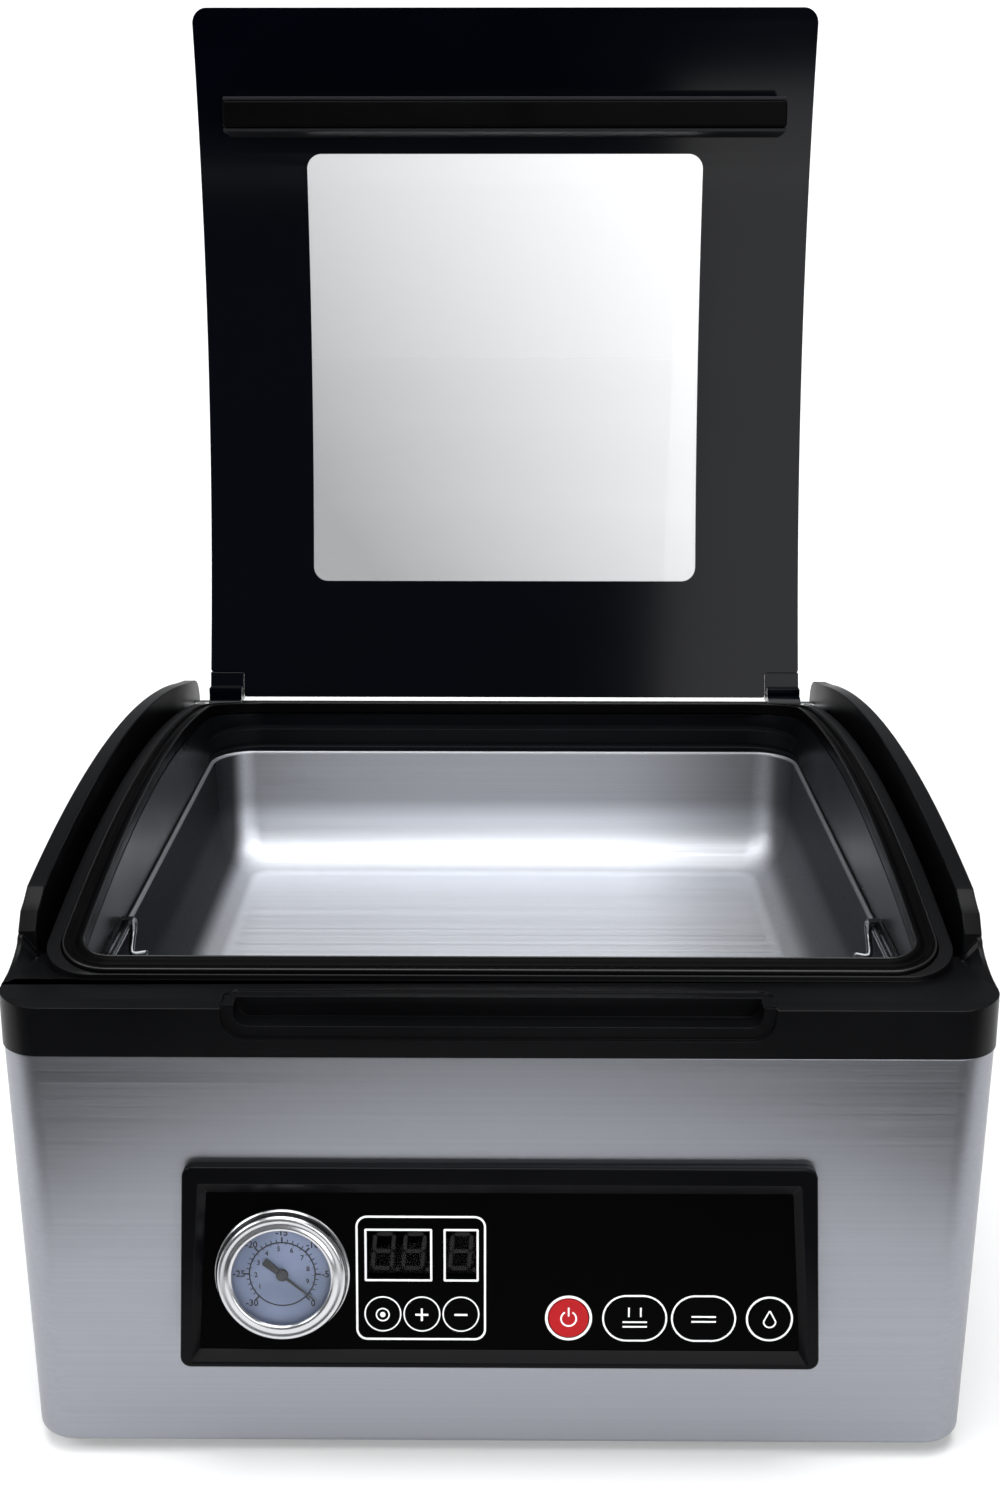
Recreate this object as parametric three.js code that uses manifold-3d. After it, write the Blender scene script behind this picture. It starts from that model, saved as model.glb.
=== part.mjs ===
// A countertop chamber vacuum sealer with its curved glass lid standing open.
// Millimetres, +Z up. The front looks along -Y, and +X is to the right seen from the front.
import * as THREE from 'three';
import { mergeVertices } from 'three/addons/utils/BufferGeometryUtils.js';
import Module from 'manifold-3d';

const wasm = await Module();
wasm.setup();

// Fits shared by the whole machine
const clearance = 0.3;
const overrun = 6;
const flatSteps = 1;
const cornerSteps = 5;
const roundSteps = 28;
const smallSteps = 12;
const arcSteps = 20;

// Body
const bodyWidth = 365;
const bodyDepth = 420;
const bodyFrontRadius = 17;
const bodyRearRadius = 14;
const footHeight = 6;
const shellInset = 0.6;
const shellWall = 1.2;
const shellTaper = 3.4;
const shellFoldRadius = 1.2;

// Base plate and feet
const basePlateGap = 0.5;
const footRadius = 11;
const footTopRadius = 12.5;
const footInset = 30;
const footStudRadius = 2.5;
const footStudRise = 6;
const baseVentLength = 46;
const baseVentWidth = 4;
const baseVentPitch = 12;
const baseVentCount = 6;

// Top frame
const frameSkirt = 20;
const ledgeBevelHeight = 1.1;
const ledgeBevelDepth = 5.8;
const rearDeckDrop = 4.5;
const rearDeckRound = 3;
const frameWall = 3.2;
const frameRoof = 9;
const frameLipDepth = 6;
const frameLipWall = 2.5;
const rimFront = 22.4;
const rimRearInset = 18;
const rimSideInset = 11.5;
const rimCornerRadius = 20;
const rimShoulderDrop = 1.5;
const guardWidth = 7;
const guardRise = 9.8;
const guardToe = 20;
const guardToeSweep = 14;
const guardToeLift = 1.5;
const guardFront = 41;
const guardToeRise = 6;
const guardStep = 2;
const guardStepRise = 10;
const guardLean = 7.5;
const guardShoulder = 16.5;
const guardCrestStart = 60;
const guardEndRadius = 14.8;
const slotFront = 46;
const slotRearInset = 36;

// Finger recess in the front ledge
const recessHalfWidth = 99.5;
const recessHeight = 13.3;
const recessRelief = 1.5;
const recessTopRelief = 0.8;
const recessTopDepth = 14.2;
const recessCornerRadius = 9;
const pocketMargin = 4.5;
const pocketSill = 4.8;
const pocketDepth = 10;
const pocketCornerRadius = 5;

// Lid and its hinge
const hingeInset = 21.6;
const hingeDrop = 2.8;
const lidRadius = 745.25;
const lidFront = 18.25;
const lidRearOffset = 4.4;
const lidRearRise = 5.25;
const lidSideInset = 14.5;
const lidThickness = 8;
const lidCornerRadius = 8;
const lidOpenAngle = 94.6;
const maskThickness = 0.4;
const windowSideInset = 59;
const windowStart = 75.9;
const windowRearInset = 66.75;
const windowRadius = 8;
const hingeBlockWidth = 18.6;
const hingeBlockRadius = 6.5;
const hingeBlockRadiusLeft = 4.2;
const hingeBlockReach = 33;
const hingeBlockPlate = 3.6;
const hingeWebBack = 1.8;
const hingeWebDepth = 9;
const hingeNotch = 14;
const hingePinRadius = 3;
const hingePinEngage = 5.2;
const hingeRelief = 1;

// Pressure bar on the lid
const pressureBarEndGap = 7;
const pressureBarWidth = 18.2;
const pressureBarSetback = 42.8;
const pressureStripWidth = 13.6;
const pressureStripHeight = 5.7;
const pressureStripProud = 2;

// Chamber
const gasketInnerFront = 32.2;
const gasketRearInset = 56;
const gasketSideInset = 25.5;
const gasketWidth = 8.6;
const gasketHeight = 5.7;
const chamberFrontRadius = 12;
const chamberRearRadius = 26;
const collarWall = 3;
const collarStepHeight = 3;
const collarStepDepth = 13;
const collarShelfHeight = 11.5;
const collarShelfDepth = 9;
const panEdgeBelowLedge = 14.8;
const panDepth = 61;
const panWall = 1;
const panFrontInset = 2.8;
const panRearInset = 16.5;
const panSideInset = 2.2;
const panDraft = 3;
const panFloorRadius = 24;
const panCornerRadius = 20;
const panFloorCorner = 6;
const portRadius = 3.5;
const portSideInset = 94.8;
const portSetback = 55;

// Seal bar and its lift
const sealBarWidth = 11;
const sealBarHeight = 14.6;
const sealBaseEndInset = 2;
const sealBaseWidth = 13;
const sealBaseHeight = 13;
const heatingStripWidth = 5;
const heatingStripThickness = 0.5;
const sealTravel = 11;
const liftEndInset = 50;
const liftCylinderRadius = 13;
const liftCylinderHeight = 46;
const liftNeckRadius = 6;
const liftNeckRise = 4;
const liftRodRadius = 3;
const liftRodEngage = 30;

// Bag clips of bent wire
const clipWireRadius = 1.3;
const clipWallGap = 1.9;
const clipFrontReach = 25;
const clipRearReach = 35;
const clipRise = 2.8;
const clipDropBack = 12.5;
const clipDrop = 10.8;
const clipDropIn = 1.5;
const clipHookIn = 7;
const clipSteps = 36;
const bracketPlate = 1.2;
const bracketFrontInset = 10;
const bracketRearInset = 6;
const bracketLug = 4;
const bracketHeight = 5.6;

// Control panel, which leans back
const panelTiltAngle = 8;
const panelShift = 0.5;
const panelDrop = 41.9;
const panelProud = 3.9;
const bezelFlare = 2;
const bezelRadius = 4;
const bezelTopBar = 6.6;
const bezelSideBar = 6.1;
const bezelBottomBar = 2;
const bezelTopSlope = 4.2;
const bezelSideSlope = 2.9;
const bezelBottomSlope = 3.8;
const openingFlare = 4.2;
const bezelRecess = 3;
const bezelBlock = 30;
const faceMargin = 2.2;
const faceThickness = 2;
const panelCutGap = 0.7;
const panelCutRise = 5;

// Display
const displayGap = 5.4;
const windowKeyGap = 6.7;
const windowHeight = 20.2;
const windowLongWidth = 24.9;
const windowGap = 4.2;
const windowShortWidth = 12.9;
const windowFrame = 1;
const windowPlateMargin = 1.5;
const windowPlateThickness = 1;
const moduleSideMargin = 0.1;
const moduleEndMargin = 0.6;
const moduleDepth = 7;
const boardThickness = 1.6;
const boardLeftReach = 4.4;
const boardRightReach = 8.3;
const boardTopReach = 12.7;
const boardCutRoom = 4.2;

// Keys
const smallKeyRadius = 6;
const smallKeyLift = 1.3;
const smallKeyInset = 0.6;
const smallKeyGap = 2.42;
const keyRowDrop = 17.3;
const cancelKeyGap = 25.8;
const cancelKeyRadius = 7.4;
const keyGap = 6;
const longKeyHalfWidth = 11;
const longKeyHalfHeight = 8;
const longKeyGap = 3.4;
const marinateKeyGap = 5.7;
const marinateKeyRadius = 7.6;
const keySideRoom = 8.6;
const keyProud = 0.6;
const keyTravel = 0.6;
const keyFlange = 0.8;
const keyFlangeWidth = 1;

// Vacuum gauge
const gaugeRadius = 24.8;
const gaugeSideRoom = 11.3;
const gaugeTopRoom = 6;
const gaugeBottomRoom = 10.8;
const gaugeRingWall = 3;
const gaugeBezelWidth = 3.7;
const gaugeCaseGrow = 0.2;
const gaugeCaseWall = 1.5;
const gaugeCaseDepth = 25;
const gaugeNeedleGap = 0.4;
const gaugeLip = 1.6;
const gaugeLensThickness = 1;
const gaugeDialThickness = 0.8;
const gaugePortRadius = 5;
const gaugePortLength = 12;
const gaugeHubRadius = 2.3;
const needleTip = 14.8;
const needleTail = 8.5;
const needleTipWidth = 0.8;
const needleTailWidth = 2.6;
const needleThickness = 0.6;
const needleShaftRadius = 0.8;
const needleShaftLength = 5;
const needleLift = 0.7;
const needleRestAngle = -39;

// Rear panel, mains inlet and switch
const rearWindowSideInset = 42.5;
const rearWindowRise = 18;
const rearWindowDrop = 27.7;
const rearPanelMargin = 7.5;
const inletSideInset = 30;
const inletRise = 22;
const inletWidth = 27;
const inletHeight = 19.6;
const inletDepth = 22;
const inletFlange = 3;
const inletFlangeThickness = 2;
const inletWall = 1.8;
const inletSocketDepth = 16;
const inletPinWidth = 2;
const inletPinHeight = 4;
const inletPinLength = 13;
const inletPinSpacing = 7;
const switchRise = 38;
const switchWidth = 13;
const switchHeight = 19;
const switchFlange = 2;
const switchWall = 1.4;
const switchDepth = 14;
const rockerProud = 2.6;
const rockerPivotDepth = 4;
const rockerTiltAngle = 8;

// Cooling fan at the rear
const fanSideInset = 70;
const fanRise = 50;
const fanSize = 80;
const fanDepth = 25;
const fanBoreRadius = 37;
const fanHubRadius = 14;
const fanTipGap = 2;
const fanBladeCount = 7;
const fanBladeThickness = 2.4;
const fanBladeAngle = 35;
const fanSpokeWidth = 5;
const fanSpokeThickness = 4;
const fanAxleRadius = 2;
const ventCount = 9;
const ventPitch = 7.6;
const ventHeight = 3.4;
const ventHalfWidth = 33;

// Vacuum pump
const motorRadius = 36;
const motorLength = 110;
const motorLeft = -40;
const motorRearInset = 170;
const motorRise = 44.5;
const motorEndStep = 6;
const pumpHeadroom = 15.2;
const motorFootWidth = 60;
const motorFootLength = 70;
const motorFootHeight = 24;
const pumpHeadLength = 54;
const pumpHeadWidth = 56;
const pumpHeadHeight = 52;
const pumpHeadBevel = 6;
const pumpCapRadius = 20;
const pumpCapHeight = 18;
const pumpPortRadius = 4;
const pumpPortLength = 8;
const impellerRadius = 28;
const impellerHub = 8;
const impellerWidth = 9;
const impellerBlades = 9;
const impellerBladeThickness = 1.6;
const impellerGap = 3;
const motorShaftRadius = 3;
const motorShaftEngage = 14;

// Transformer and solenoid valve
const transformerSideGap = 10.1;
const transformerSetback = 43;
const transformerWidth = 66;
const transformerDepth = 56;
const transformerHeight = 54;
const transformerCoreDepth = 30;
const transformerFootFlange = 8;
const transformerFootThickness = 2.5;
const valveSideInset = 57.5;
const valvePumpSpacing = 80;
const valveWidth = 34;
const valveDepth = 34;
const valveHeight = 26;
const valveCoilRadius = 13;
const valveCoilHeight = 26;
const valveCoilGap = 2.75;
const valvePortRadius = 4;
const valvePortLength = 7;

// Hoses
const hoseRadius = 4.5;
const hoseBoreRadius = 2.5;
const hoseSteps = 18;
const hoseSides = 8;
const hoseDrop = 18;

// Heights and planes that follow from the sizes above
const floorTop = footHeight + shellWall;
const machineFloor = floorTop + clearance;
const motorZ = machineFloor + motorRise;
const pumpTop = motorZ + pumpHeadHeight / 2;
const panUnderside = pumpTop + pumpCapHeight + pumpHeadroom;
const panFloor = panUnderside + panWall;
const panEdge = panFloor + panDepth;
const ledgeTop = panEdge + panEdgeBelowLedge;
const frameBottom = ledgeTop - frameSkirt;
const shellTop = frameBottom - clearance;
const rearDeckTop = ledgeTop - rearDeckDrop;
const hingeY = bodyDepth - hingeInset;
const hingeZ = ledgeTop - hingeDrop;
const bodyHalfWidth = bodyWidth / 2;
const rimRear = bodyDepth - rimRearInset;
const rimHalfWidth = bodyHalfWidth - rimSideInset;
const slotRear = bodyDepth - slotRearInset;
const gasketInnerRear = bodyDepth - gasketRearInset;
const gasketInnerHalfWidth = bodyHalfWidth - gasketSideInset;
const collarStepFront = gasketInnerRear - collarStepDepth;
const collarShelfFront = gasketInnerRear - collarShelfDepth;
const panFront = gasketInnerFront + panFrontInset;
const panRear = gasketInnerRear - panRearInset;
const panHalfWidth = gasketInnerHalfWidth - panSideInset;
const pressureBarY = gasketInnerFront + pressureBarSetback;
const pressureBarHalfLength = gasketInnerHalfWidth - pressureBarEndGap;
const sealBaseHalfLength = pressureBarHalfLength - sealBaseEndInset;
const liftX = pressureBarHalfLength - liftEndInset;
const portX = panHalfWidth - portSideInset;
const portY = pressureBarY + portSetback;
const clipFront = pressureBarY - clipFrontReach;
const clipRear = pressureBarY + clipRearReach;
const clipDropY = clipRear - clipDropBack;
const bracketFront = clipFront + bracketFrontInset;
const bracketRear = clipRear - bracketRearInset;
const panelTop = shellTop - panelDrop;
const gaugeBore = gaugeRadius - gaugeRingWall;
const gaugeOpening = gaugeBore - gaugeBezelWidth;
const gaugeCaseRadius = gaugeBore + gaugeCaseGrow;
const gaugeDrop = bezelTopBar + bezelTopSlope + gaugeTopRoom + gaugeRadius;
const bezelHeight = gaugeDrop + gaugeRadius + gaugeBottomRoom;
const keyRow = gaugeDrop + keyRowDrop;
const smallKeyRow = keyRow - smallKeyLift;
const windowTop = smallKeyRow - smallKeyRadius - windowKeyGap - windowHeight;

// The panel's pieces from left to right, first counted from the bezel's left edge
const gaugePlace = gaugeSideRoom + gaugeRadius;
const windowPlace = gaugePlace + gaugeRadius + displayGap;
const windowShortPlace = windowPlace + windowLongWidth + windowGap;
const cancelPlace = windowShortPlace + windowShortWidth + cancelKeyGap + cancelKeyRadius;
const vacuumPlace = cancelPlace + cancelKeyRadius + keyGap + longKeyHalfWidth;
const sealPlace = vacuumPlace + longKeyHalfWidth * 2 + longKeyGap;
const marinatePlace = sealPlace + longKeyHalfWidth + marinateKeyGap + marinateKeyRadius;
const bezelHalfWidth = (marinatePlace + marinateKeyRadius + keySideRoom) / 2;
const openHalfWidth = bezelHalfWidth - bezelSideBar - bezelSideSlope;
const faceHalfWidth = openHalfWidth + openingFlare + faceMargin - clearance;
const panelCutHalfWidth = faceHalfWidth + panelCutGap;
const gaugeX = gaugePlace - bezelHalfWidth;
const windowLeft = windowPlace - bezelHalfWidth;
const windowShortLeft = windowShortPlace - bezelHalfWidth;
const cancelKeyX = cancelPlace - bezelHalfWidth;
const vacuumKeyX = vacuumPlace - bezelHalfWidth;
const sealKeyX = sealPlace - bezelHalfWidth;
const marinateKeyX = marinatePlace - bezelHalfWidth;
const smallKeyFirst = windowLeft + smallKeyRadius + smallKeyInset;
const smallKeyPitch = smallKeyRadius * 2 + smallKeyGap;
const moduleLongWidth = windowLongWidth - moduleSideMargin * 2;
const moduleShortWidth = windowShortWidth - moduleSideMargin * 2;
const moduleHeight = windowHeight - moduleEndMargin * 2;
const boardLeft = windowLeft - boardLeftReach;
const boardRight = marinateKeyX + boardRightReach;
const boardTop = windowTop - boardTopReach;
const boardBottom = bezelHeight - panelCutRise - boardCutRoom;

// The rear panel and what it holds, and the machine's parts on the base
const rearWindowHalfWidth = bodyHalfWidth - rearWindowSideInset;
const rearWindowBottom = footHeight + rearWindowRise;
const rearWindowTop = shellTop - rearWindowDrop;
const basePlateLip = rearWindowRise - rearPanelMargin - basePlateGap;
const inletX = rearWindowHalfWidth - inletSideInset;
const inletZ = rearWindowBottom + inletRise;
const switchX = inletX;
const switchZ = inletZ + switchRise;
const fanX = fanSideInset - rearWindowHalfWidth;
const fanBladeRadius = fanBoreRadius - fanTipGap;
const fanZ = rearWindowBottom + fanRise;
const motorY = bodyDepth - motorRearInset;
const transformerX = bodyHalfWidth - shellTaper - transformerSideGap - transformerFootFlange - transformerWidth / 2;
const transformerY = pressureBarY + transformerSetback;
const valveX = valveSideInset - bodyHalfWidth;
const valveY = motorY - valvePumpSpacing;

// Centre of the arc that the closed lid's inner face follows, in the YZ plane
const lidRear = hingeY - lidRearOffset;
const lidHalfWidth = bodyHalfWidth - lidSideInset;
const lidHalfAngle = Math.asin((lidRear - lidFront) / 2 / lidRadius);
const windowHalfWidth = lidHalfWidth - windowSideInset;
const windowEnd = lidRadius * lidHalfAngle * 2 - windowRearInset;
const arcCentre = new THREE.Vector2(
  (lidRear + lidFront) / 2, hingeZ + lidRearRise - lidRadius * Math.cos(lidHalfAngle));

// Materials
const material = (color, roughness, metalness) =>
  new THREE.MeshStandardMaterial({ color, roughness, metalness });
const brushedSteel = material(0x9a9ca1, 0.38, 1);
const panSteel = material(0xc4c7cc, 0.3, 1);
const zincSteel = material(0x8d9094, 0.45, 1);
const chrome = material(0xd9dadc, 0.15, 1);
const aluminium = material(0xb9bcc0, 0.4, 1);
const nichrome = material(0xa9a49a, 0.45, 1);
const glossBlack = material(0x0c0d0f, 0.25, 0);
const satinBlack = material(0x17181a, 0.45, 0);
const softBlack = material(0x1b1c1e, 0.8, 0);
const panelBlack = material(0x050506, 0.3, 0);
const smokedLens = material(0x08080a, 0.1, 0);
const dialBlue = material(0x9fb0c8, 0.5, 0);
const needleBlack = material(0x101114, 0.5, 0);
const keyRed = material(0xc8141c, 0.4, 0);
const boardGreen = material(0x1f5a35, 0.6, 0);
const clearGlass = material(0xe6eaee, 0.05, 0);
const castGrey = material(0x777a7e, 0.55, 1);
const copperWrap = material(0xb0703a, 0.5, 1);
const hoseClear = material(0xc9c4b4, 0.5, 0);

// Outline points on an arc, between two angles in degrees
function arcPoints(cx, cy, radius, fromAngle, toAngle, steps) {
  return Array.from({ length: steps + 1 }, (_, i) => {
    const turn = THREE.MathUtils.degToRad(fromAngle + (toAngle - fromAngle) * i / steps);
    return new THREE.Vector2(cx + radius * Math.cos(turn), cy + radius * Math.sin(turn));
  });
}

const circle = (cx, cy, radius, steps = roundSteps) =>
  arcPoints(cx, cy, radius, 0, 360, steps).slice(0, steps);

const rect = (x0, x1, y0, y1) =>
  [[x0, y0], [x1, y0], [x1, y1], [x0, y1]].map(([x, y]) => new THREE.Vector2(x, y));

// A rectangle whose two lower corners and two upper corners have a radius each
function roundRect(x0, x1, y0, y1, lowRadius, highRadius = lowRadius) {
  return [
    ...arcPoints(x0 + lowRadius, y0 + lowRadius, lowRadius, 180, 270, cornerSteps),
    ...arcPoints(x1 - lowRadius, y0 + lowRadius, lowRadius, 270, 360, cornerSteps),
    ...arcPoints(x1 - highRadius, y1 - highRadius, highRadius, 0, 90, cornerSteps),
    ...arcPoints(x0 + highRadius, y1 - highRadius, highRadius, 90, 180, cornerSteps),
  ];
}

// Basis of an extrusion: x takes an outline drawn in (y, z), y one in (x, z), z one in (x, y)
const alongX = new THREE.Matrix4().makeBasis(
  new THREE.Vector3(0, 1, 0), new THREE.Vector3(0, 0, 1), new THREE.Vector3(1, 0, 0));
const alongY = new THREE.Matrix4().makeBasis(
  new THREE.Vector3(1, 0, 0), new THREE.Vector3(0, 0, 1), new THREE.Vector3(0, -1, 0));

// An outline extruded along an axis, from one coordinate to another
function prism(points, axis, from, to) {
  const geometry = new THREE.ExtrudeGeometry(new THREE.Shape(points), {
    depth: to - from, steps: flatSteps, bevelEnabled: false,
  });
  geometry.translate(0, 0, axis === 'y' ? -to : from);
  if (axis === 'x') geometry.applyMatrix4(alongX);
  if (axis === 'y') geometry.applyMatrix4(alongY);
  return geometry;
}

const block = (x0, x1, y0, y1, z0, z1) => prism(rect(x0, x1, y0, y1), 'z', z0, z1);

// A profile of (radius, height) points turned about an axis through a point
function turned(profile, axis, x, y, z, steps = roundSteps) {
  const points = profile.map(([radius, height]) => new THREE.Vector2(radius, height));
  const geometry = new THREE.LatheGeometry(points, steps);
  if (axis === 'x') geometry.rotateZ(-Math.PI / 2);
  if (axis === 'z') geometry.rotateX(Math.PI / 2);
  geometry.translate(x, y, z);
  return geometry;
}

// The profile of a plain disc or rod
const disc = (radius, from, to) => [[0, from], [radius, from], [radius, to], [0, to]];

// A closed skin through a stack of loops of as many points each, lowest first
function loft(loops) {
  const count = loops[0].length;
  const vertices = loops.flat();
  const centreOf = (loop) =>
    loop.reduce((sum, point) => sum.add(point), new THREE.Vector3()).divideScalar(count);
  const lowCentre = vertices.length;
  const highCentre = lowCentre + 1;
  vertices.push(centreOf(loops[0]), centreOf(loops[loops.length - 1]));
  const index = [];
  for (let ring = 0; ring < loops.length - 1; ring += 1) {
    for (let i = 0; i < count; i += 1) {
      const a = ring * count + i;
      const b = ring * count + (i + 1) % count;
      index.push(a, b, b + count, a, b + count, a + count);
    }
  }
  const topRing = (loops.length - 1) * count;
  for (let i = 0; i < count; i += 1) {
    const next = (i + 1) % count;
    index.push(lowCentre, next, i, highCentre, topRing + i, topRing + next);
  }
  const geometry = new THREE.BufferGeometry().setFromPoints(vertices);
  geometry.setIndex(index);
  return geometry;
}

// A round tube along a smooth curve through points, with a bore when one is given
function tube(points, radius, bore, sides, steps) {
  const shape = new THREE.Shape(circle(0, 0, radius, sides));
  if (bore) shape.holes.push(new THREE.Path(circle(0, 0, bore, sides)));
  return new THREE.ExtrudeGeometry(shape, {
    steps, bevelEnabled: false, extrudePath: new THREE.CatmullRomCurve3(points),
  });
}

// A geometry as a closed solid that can be cut and joined
function solid(shape) {
  if (!shape.isBufferGeometry) return shape;
  const bare = shape.clone();
  bare.deleteAttribute('normal');
  bare.deleteAttribute('uv');
  const merged = mergeVertices(bare);
  const triVerts = [];
  const index = merged.index.array;
  for (let i = 0; i < index.length; i += 3) {
    const [a, b, c] = [index[i], index[i + 1], index[i + 2]];
    if (a !== b && b !== c && c !== a) triVerts.push(a, b, c);
  }
  return new wasm.Manifold(new wasm.Mesh({
    numProp: 3,
    vertProperties: new Float32Array(merged.attributes.position.array),
    triVerts: new Uint32Array(triVerts),
  }));
}

const cut = (base, ...tools) =>
  tools.reduce((left, tool) => left.subtract(solid(tool)), solid(base));
const join = (base, ...others) =>
  others.reduce((sum, other) => sum.add(solid(other)), solid(base));
const common = (base, ...others) =>
  others.reduce((left, other) => left.intersect(solid(other)), solid(base));

function geometryOf(shape) {
  if (shape.isBufferGeometry) return shape;
  const mesh = shape.getMesh();
  const geometry = new THREE.BufferGeometry();
  geometry.setAttribute('position', new THREE.BufferAttribute(mesh.vertProperties, 3));
  geometry.setIndex(new THREE.BufferAttribute(mesh.triVerts, 1));
  const faceted = geometry.toNonIndexed();
  faceted.computeVertexNormals();
  return faceted;
}

const machine = new THREE.Group();
machine.name = 'vacuum_sealer';

function piece(name, shape, finish, parent = machine) {
  const mesh = new THREE.Mesh(geometryOf(shape), finish);
  mesh.name = name;
  parent.add(mesh);
  return mesh;
}

const sides = [['left', -1], ['right', 1]];
const sorted = (a, b) => [Math.min(a, b), Math.max(a, b)];

// Height of an arc about the lid's centre at a depth y, and outline points along it
const arcHeight = (radius, y) => arcCentre.y + Math.sqrt(radius ** 2 - (y - arcCentre.x) ** 2);

function arcOutline(radius, fromY, toY, steps = arcSteps) {
  return Array.from({ length: steps + 1 }, (_, i) => {
    const y = fromY + (toY - fromY) * i / steps;
    return new THREE.Vector2(y, arcHeight(radius, y));
  });
}

// Everything under an arc, between two depths and above a floor height
const underArc = (radius, fromY, toY, floor) => prism(
  [new THREE.Vector2(fromY, floor), new THREE.Vector2(toY, floor), ...arcOutline(radius, toY, fromY)],
  'x', -bodyWidth, bodyWidth);

// Everything over an arc, between two depths and below a ceiling height
const overArc = (radius, fromY, toY, ceiling) => prism(
  [...arcOutline(radius, fromY, toY), new THREE.Vector2(toY, ceiling), new THREE.Vector2(fromY, ceiling)],
  'x', -bodyWidth, bodyWidth);

// The body's outline in plan, drawn in by an inset
const bodyPlan = (inset, halfWidth = bodyHalfWidth) => roundRect(
  inset - halfWidth, halfWidth - inset, inset, bodyDepth - inset,
  bodyFrontRadius - inset, bodyRearRadius - inset);

// The chamber's outline in plan, at the gasket's inner edge, grown by a margin
const chamberPlan = (margin) => roundRect(
  -gasketInnerHalfWidth - margin, gasketInnerHalfWidth + margin,
  gasketInnerFront - margin, gasketInnerRear + margin,
  chamberFrontRadius + margin, chamberRearRadius + margin);

const planLoop = (points, z) => points.map((point) => new THREE.Vector3(point.x, point.y, z));

// Steel wrap, tapered towards the table
function taperedPlan(inset) {
  const low = bodyPlan(inset, bodyHalfWidth - shellTaper);
  return loft([planLoop(low, footHeight), planLoop(bodyPlan(inset), shellTop)]);
}

function outerShell() {
  const panelCut = block(
    panelShift - panelCutHalfWidth, panelShift + panelCutHalfWidth,
    -overrun, overrun,
    panelTop - bezelHeight + panelCutRise, panelTop - panelCutRise);
  const rearCut = prism(
    roundRect(-rearWindowHalfWidth, rearWindowHalfWidth, rearWindowBottom, rearWindowTop, shellFoldRadius),
    'y', bodyDepth - overrun, bodyDepth + overrun);
  const inner = loft([
    planLoop(bodyPlan(shellInset + shellWall, bodyHalfWidth - shellTaper), footHeight - overrun),
    planLoop(bodyPlan(shellInset + shellWall, bodyHalfWidth - shellTaper), footHeight),
    planLoop(bodyPlan(shellInset + shellWall), shellTop),
    planLoop(bodyPlan(shellInset + shellWall), shellTop + overrun),
  ]);
  return cut(taperedPlan(shellInset), inner, panelCut, rearCut);
}

piece('outer_shell', outerShell(), brushedSteel);

// Base plate with a lip all round, vents and four feet
const footPlaces = [
  ['front_left', -1, footInset], ['front_right', 1, footInset],
  ['rear_left', -1, bodyDepth - footInset], ['rear_right', 1, bodyDepth - footInset],
];
const footX = bodyHalfWidth - shellTaper - footInset;

function basePlate() {
  const outside = bodyPlan(shellInset + shellWall + clearance, bodyHalfWidth - shellTaper);
  const inside = bodyPlan(shellInset + shellWall * 2 + clearance, bodyHalfWidth - shellTaper);
  const tray = cut(
    prism(outside, 'z', footHeight, footHeight + basePlateLip),
    prism(inside, 'z', floorTop, footHeight + basePlateLip + overrun));
  const vents = Array.from({ length: baseVentCount }, (_, i) => {
    const y = bodyDepth / 2 + (i - (baseVentCount - 1) / 2) * baseVentPitch;
    return prism(
      roundRect(-baseVentLength, baseVentLength, y - baseVentWidth / 2, y + baseVentWidth / 2,
        baseVentWidth / 2 - clearance),
      'z', -overrun, footHeight + overrun);
  });
  const studHoles = footPlaces.map(([, side, y]) =>
    prism(circle(side * footX, y, footStudRadius + clearance, smallSteps), 'z', 0, footHeight + overrun));
  return cut(tray, ...vents, ...studHoles);
}

piece('base_plate', basePlate(), zincSteel);

for (const [place, side, y] of footPlaces) {
  const top = footHeight - clearance;
  const profile = [
    [0, 0], [footRadius, 0], [footTopRadius, top / 2], [footTopRadius, top],
    [footStudRadius, top], [footStudRadius, footHeight + footStudRise], [0, footHeight + footStudRise],
  ];
  piece(`foot_${place}`, turned(profile, 'z', side * footX, y, 0, smallSteps), softBlack);
}

// Rear panel behind the wrap's rear window
const rearPanelOuter = bodyDepth - shellInset - shellWall - clearance;
const rearPanelInner = rearPanelOuter - shellWall;

function rearPanel() {
  const plate = prism(
    roundRect(-rearWindowHalfWidth - rearPanelMargin, rearWindowHalfWidth + rearPanelMargin,
      rearWindowBottom - rearPanelMargin, rearWindowTop + rearPanelMargin, rearPanelMargin / 2),
    'y', rearPanelInner, rearPanelOuter);
  const vents = Array.from({ length: ventCount }, (_, i) => {
    const z = fanZ + (i - (ventCount - 1) / 2) * ventPitch;
    return prism(
      roundRect(fanX - ventHalfWidth, fanX + ventHalfWidth, z - ventHeight / 2, z + ventHeight / 2,
        ventHeight / 2 - clearance),
      'y', rearPanelInner - overrun, rearPanelOuter + overrun);
  });
  const openingFor = (x, z, width, height) => block(
    x - width / 2 - clearance, x + width / 2 + clearance,
    rearPanelInner - overrun, rearPanelOuter + overrun,
    z - height / 2 - clearance, z + height / 2 + clearance);
  return cut(plate, ...vents,
    openingFor(inletX, inletZ, inletWidth, inletHeight),
    openingFor(switchX, switchZ, switchWidth, switchHeight));
}

piece('rear_panel', rearPanel(), zincSteel);

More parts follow.
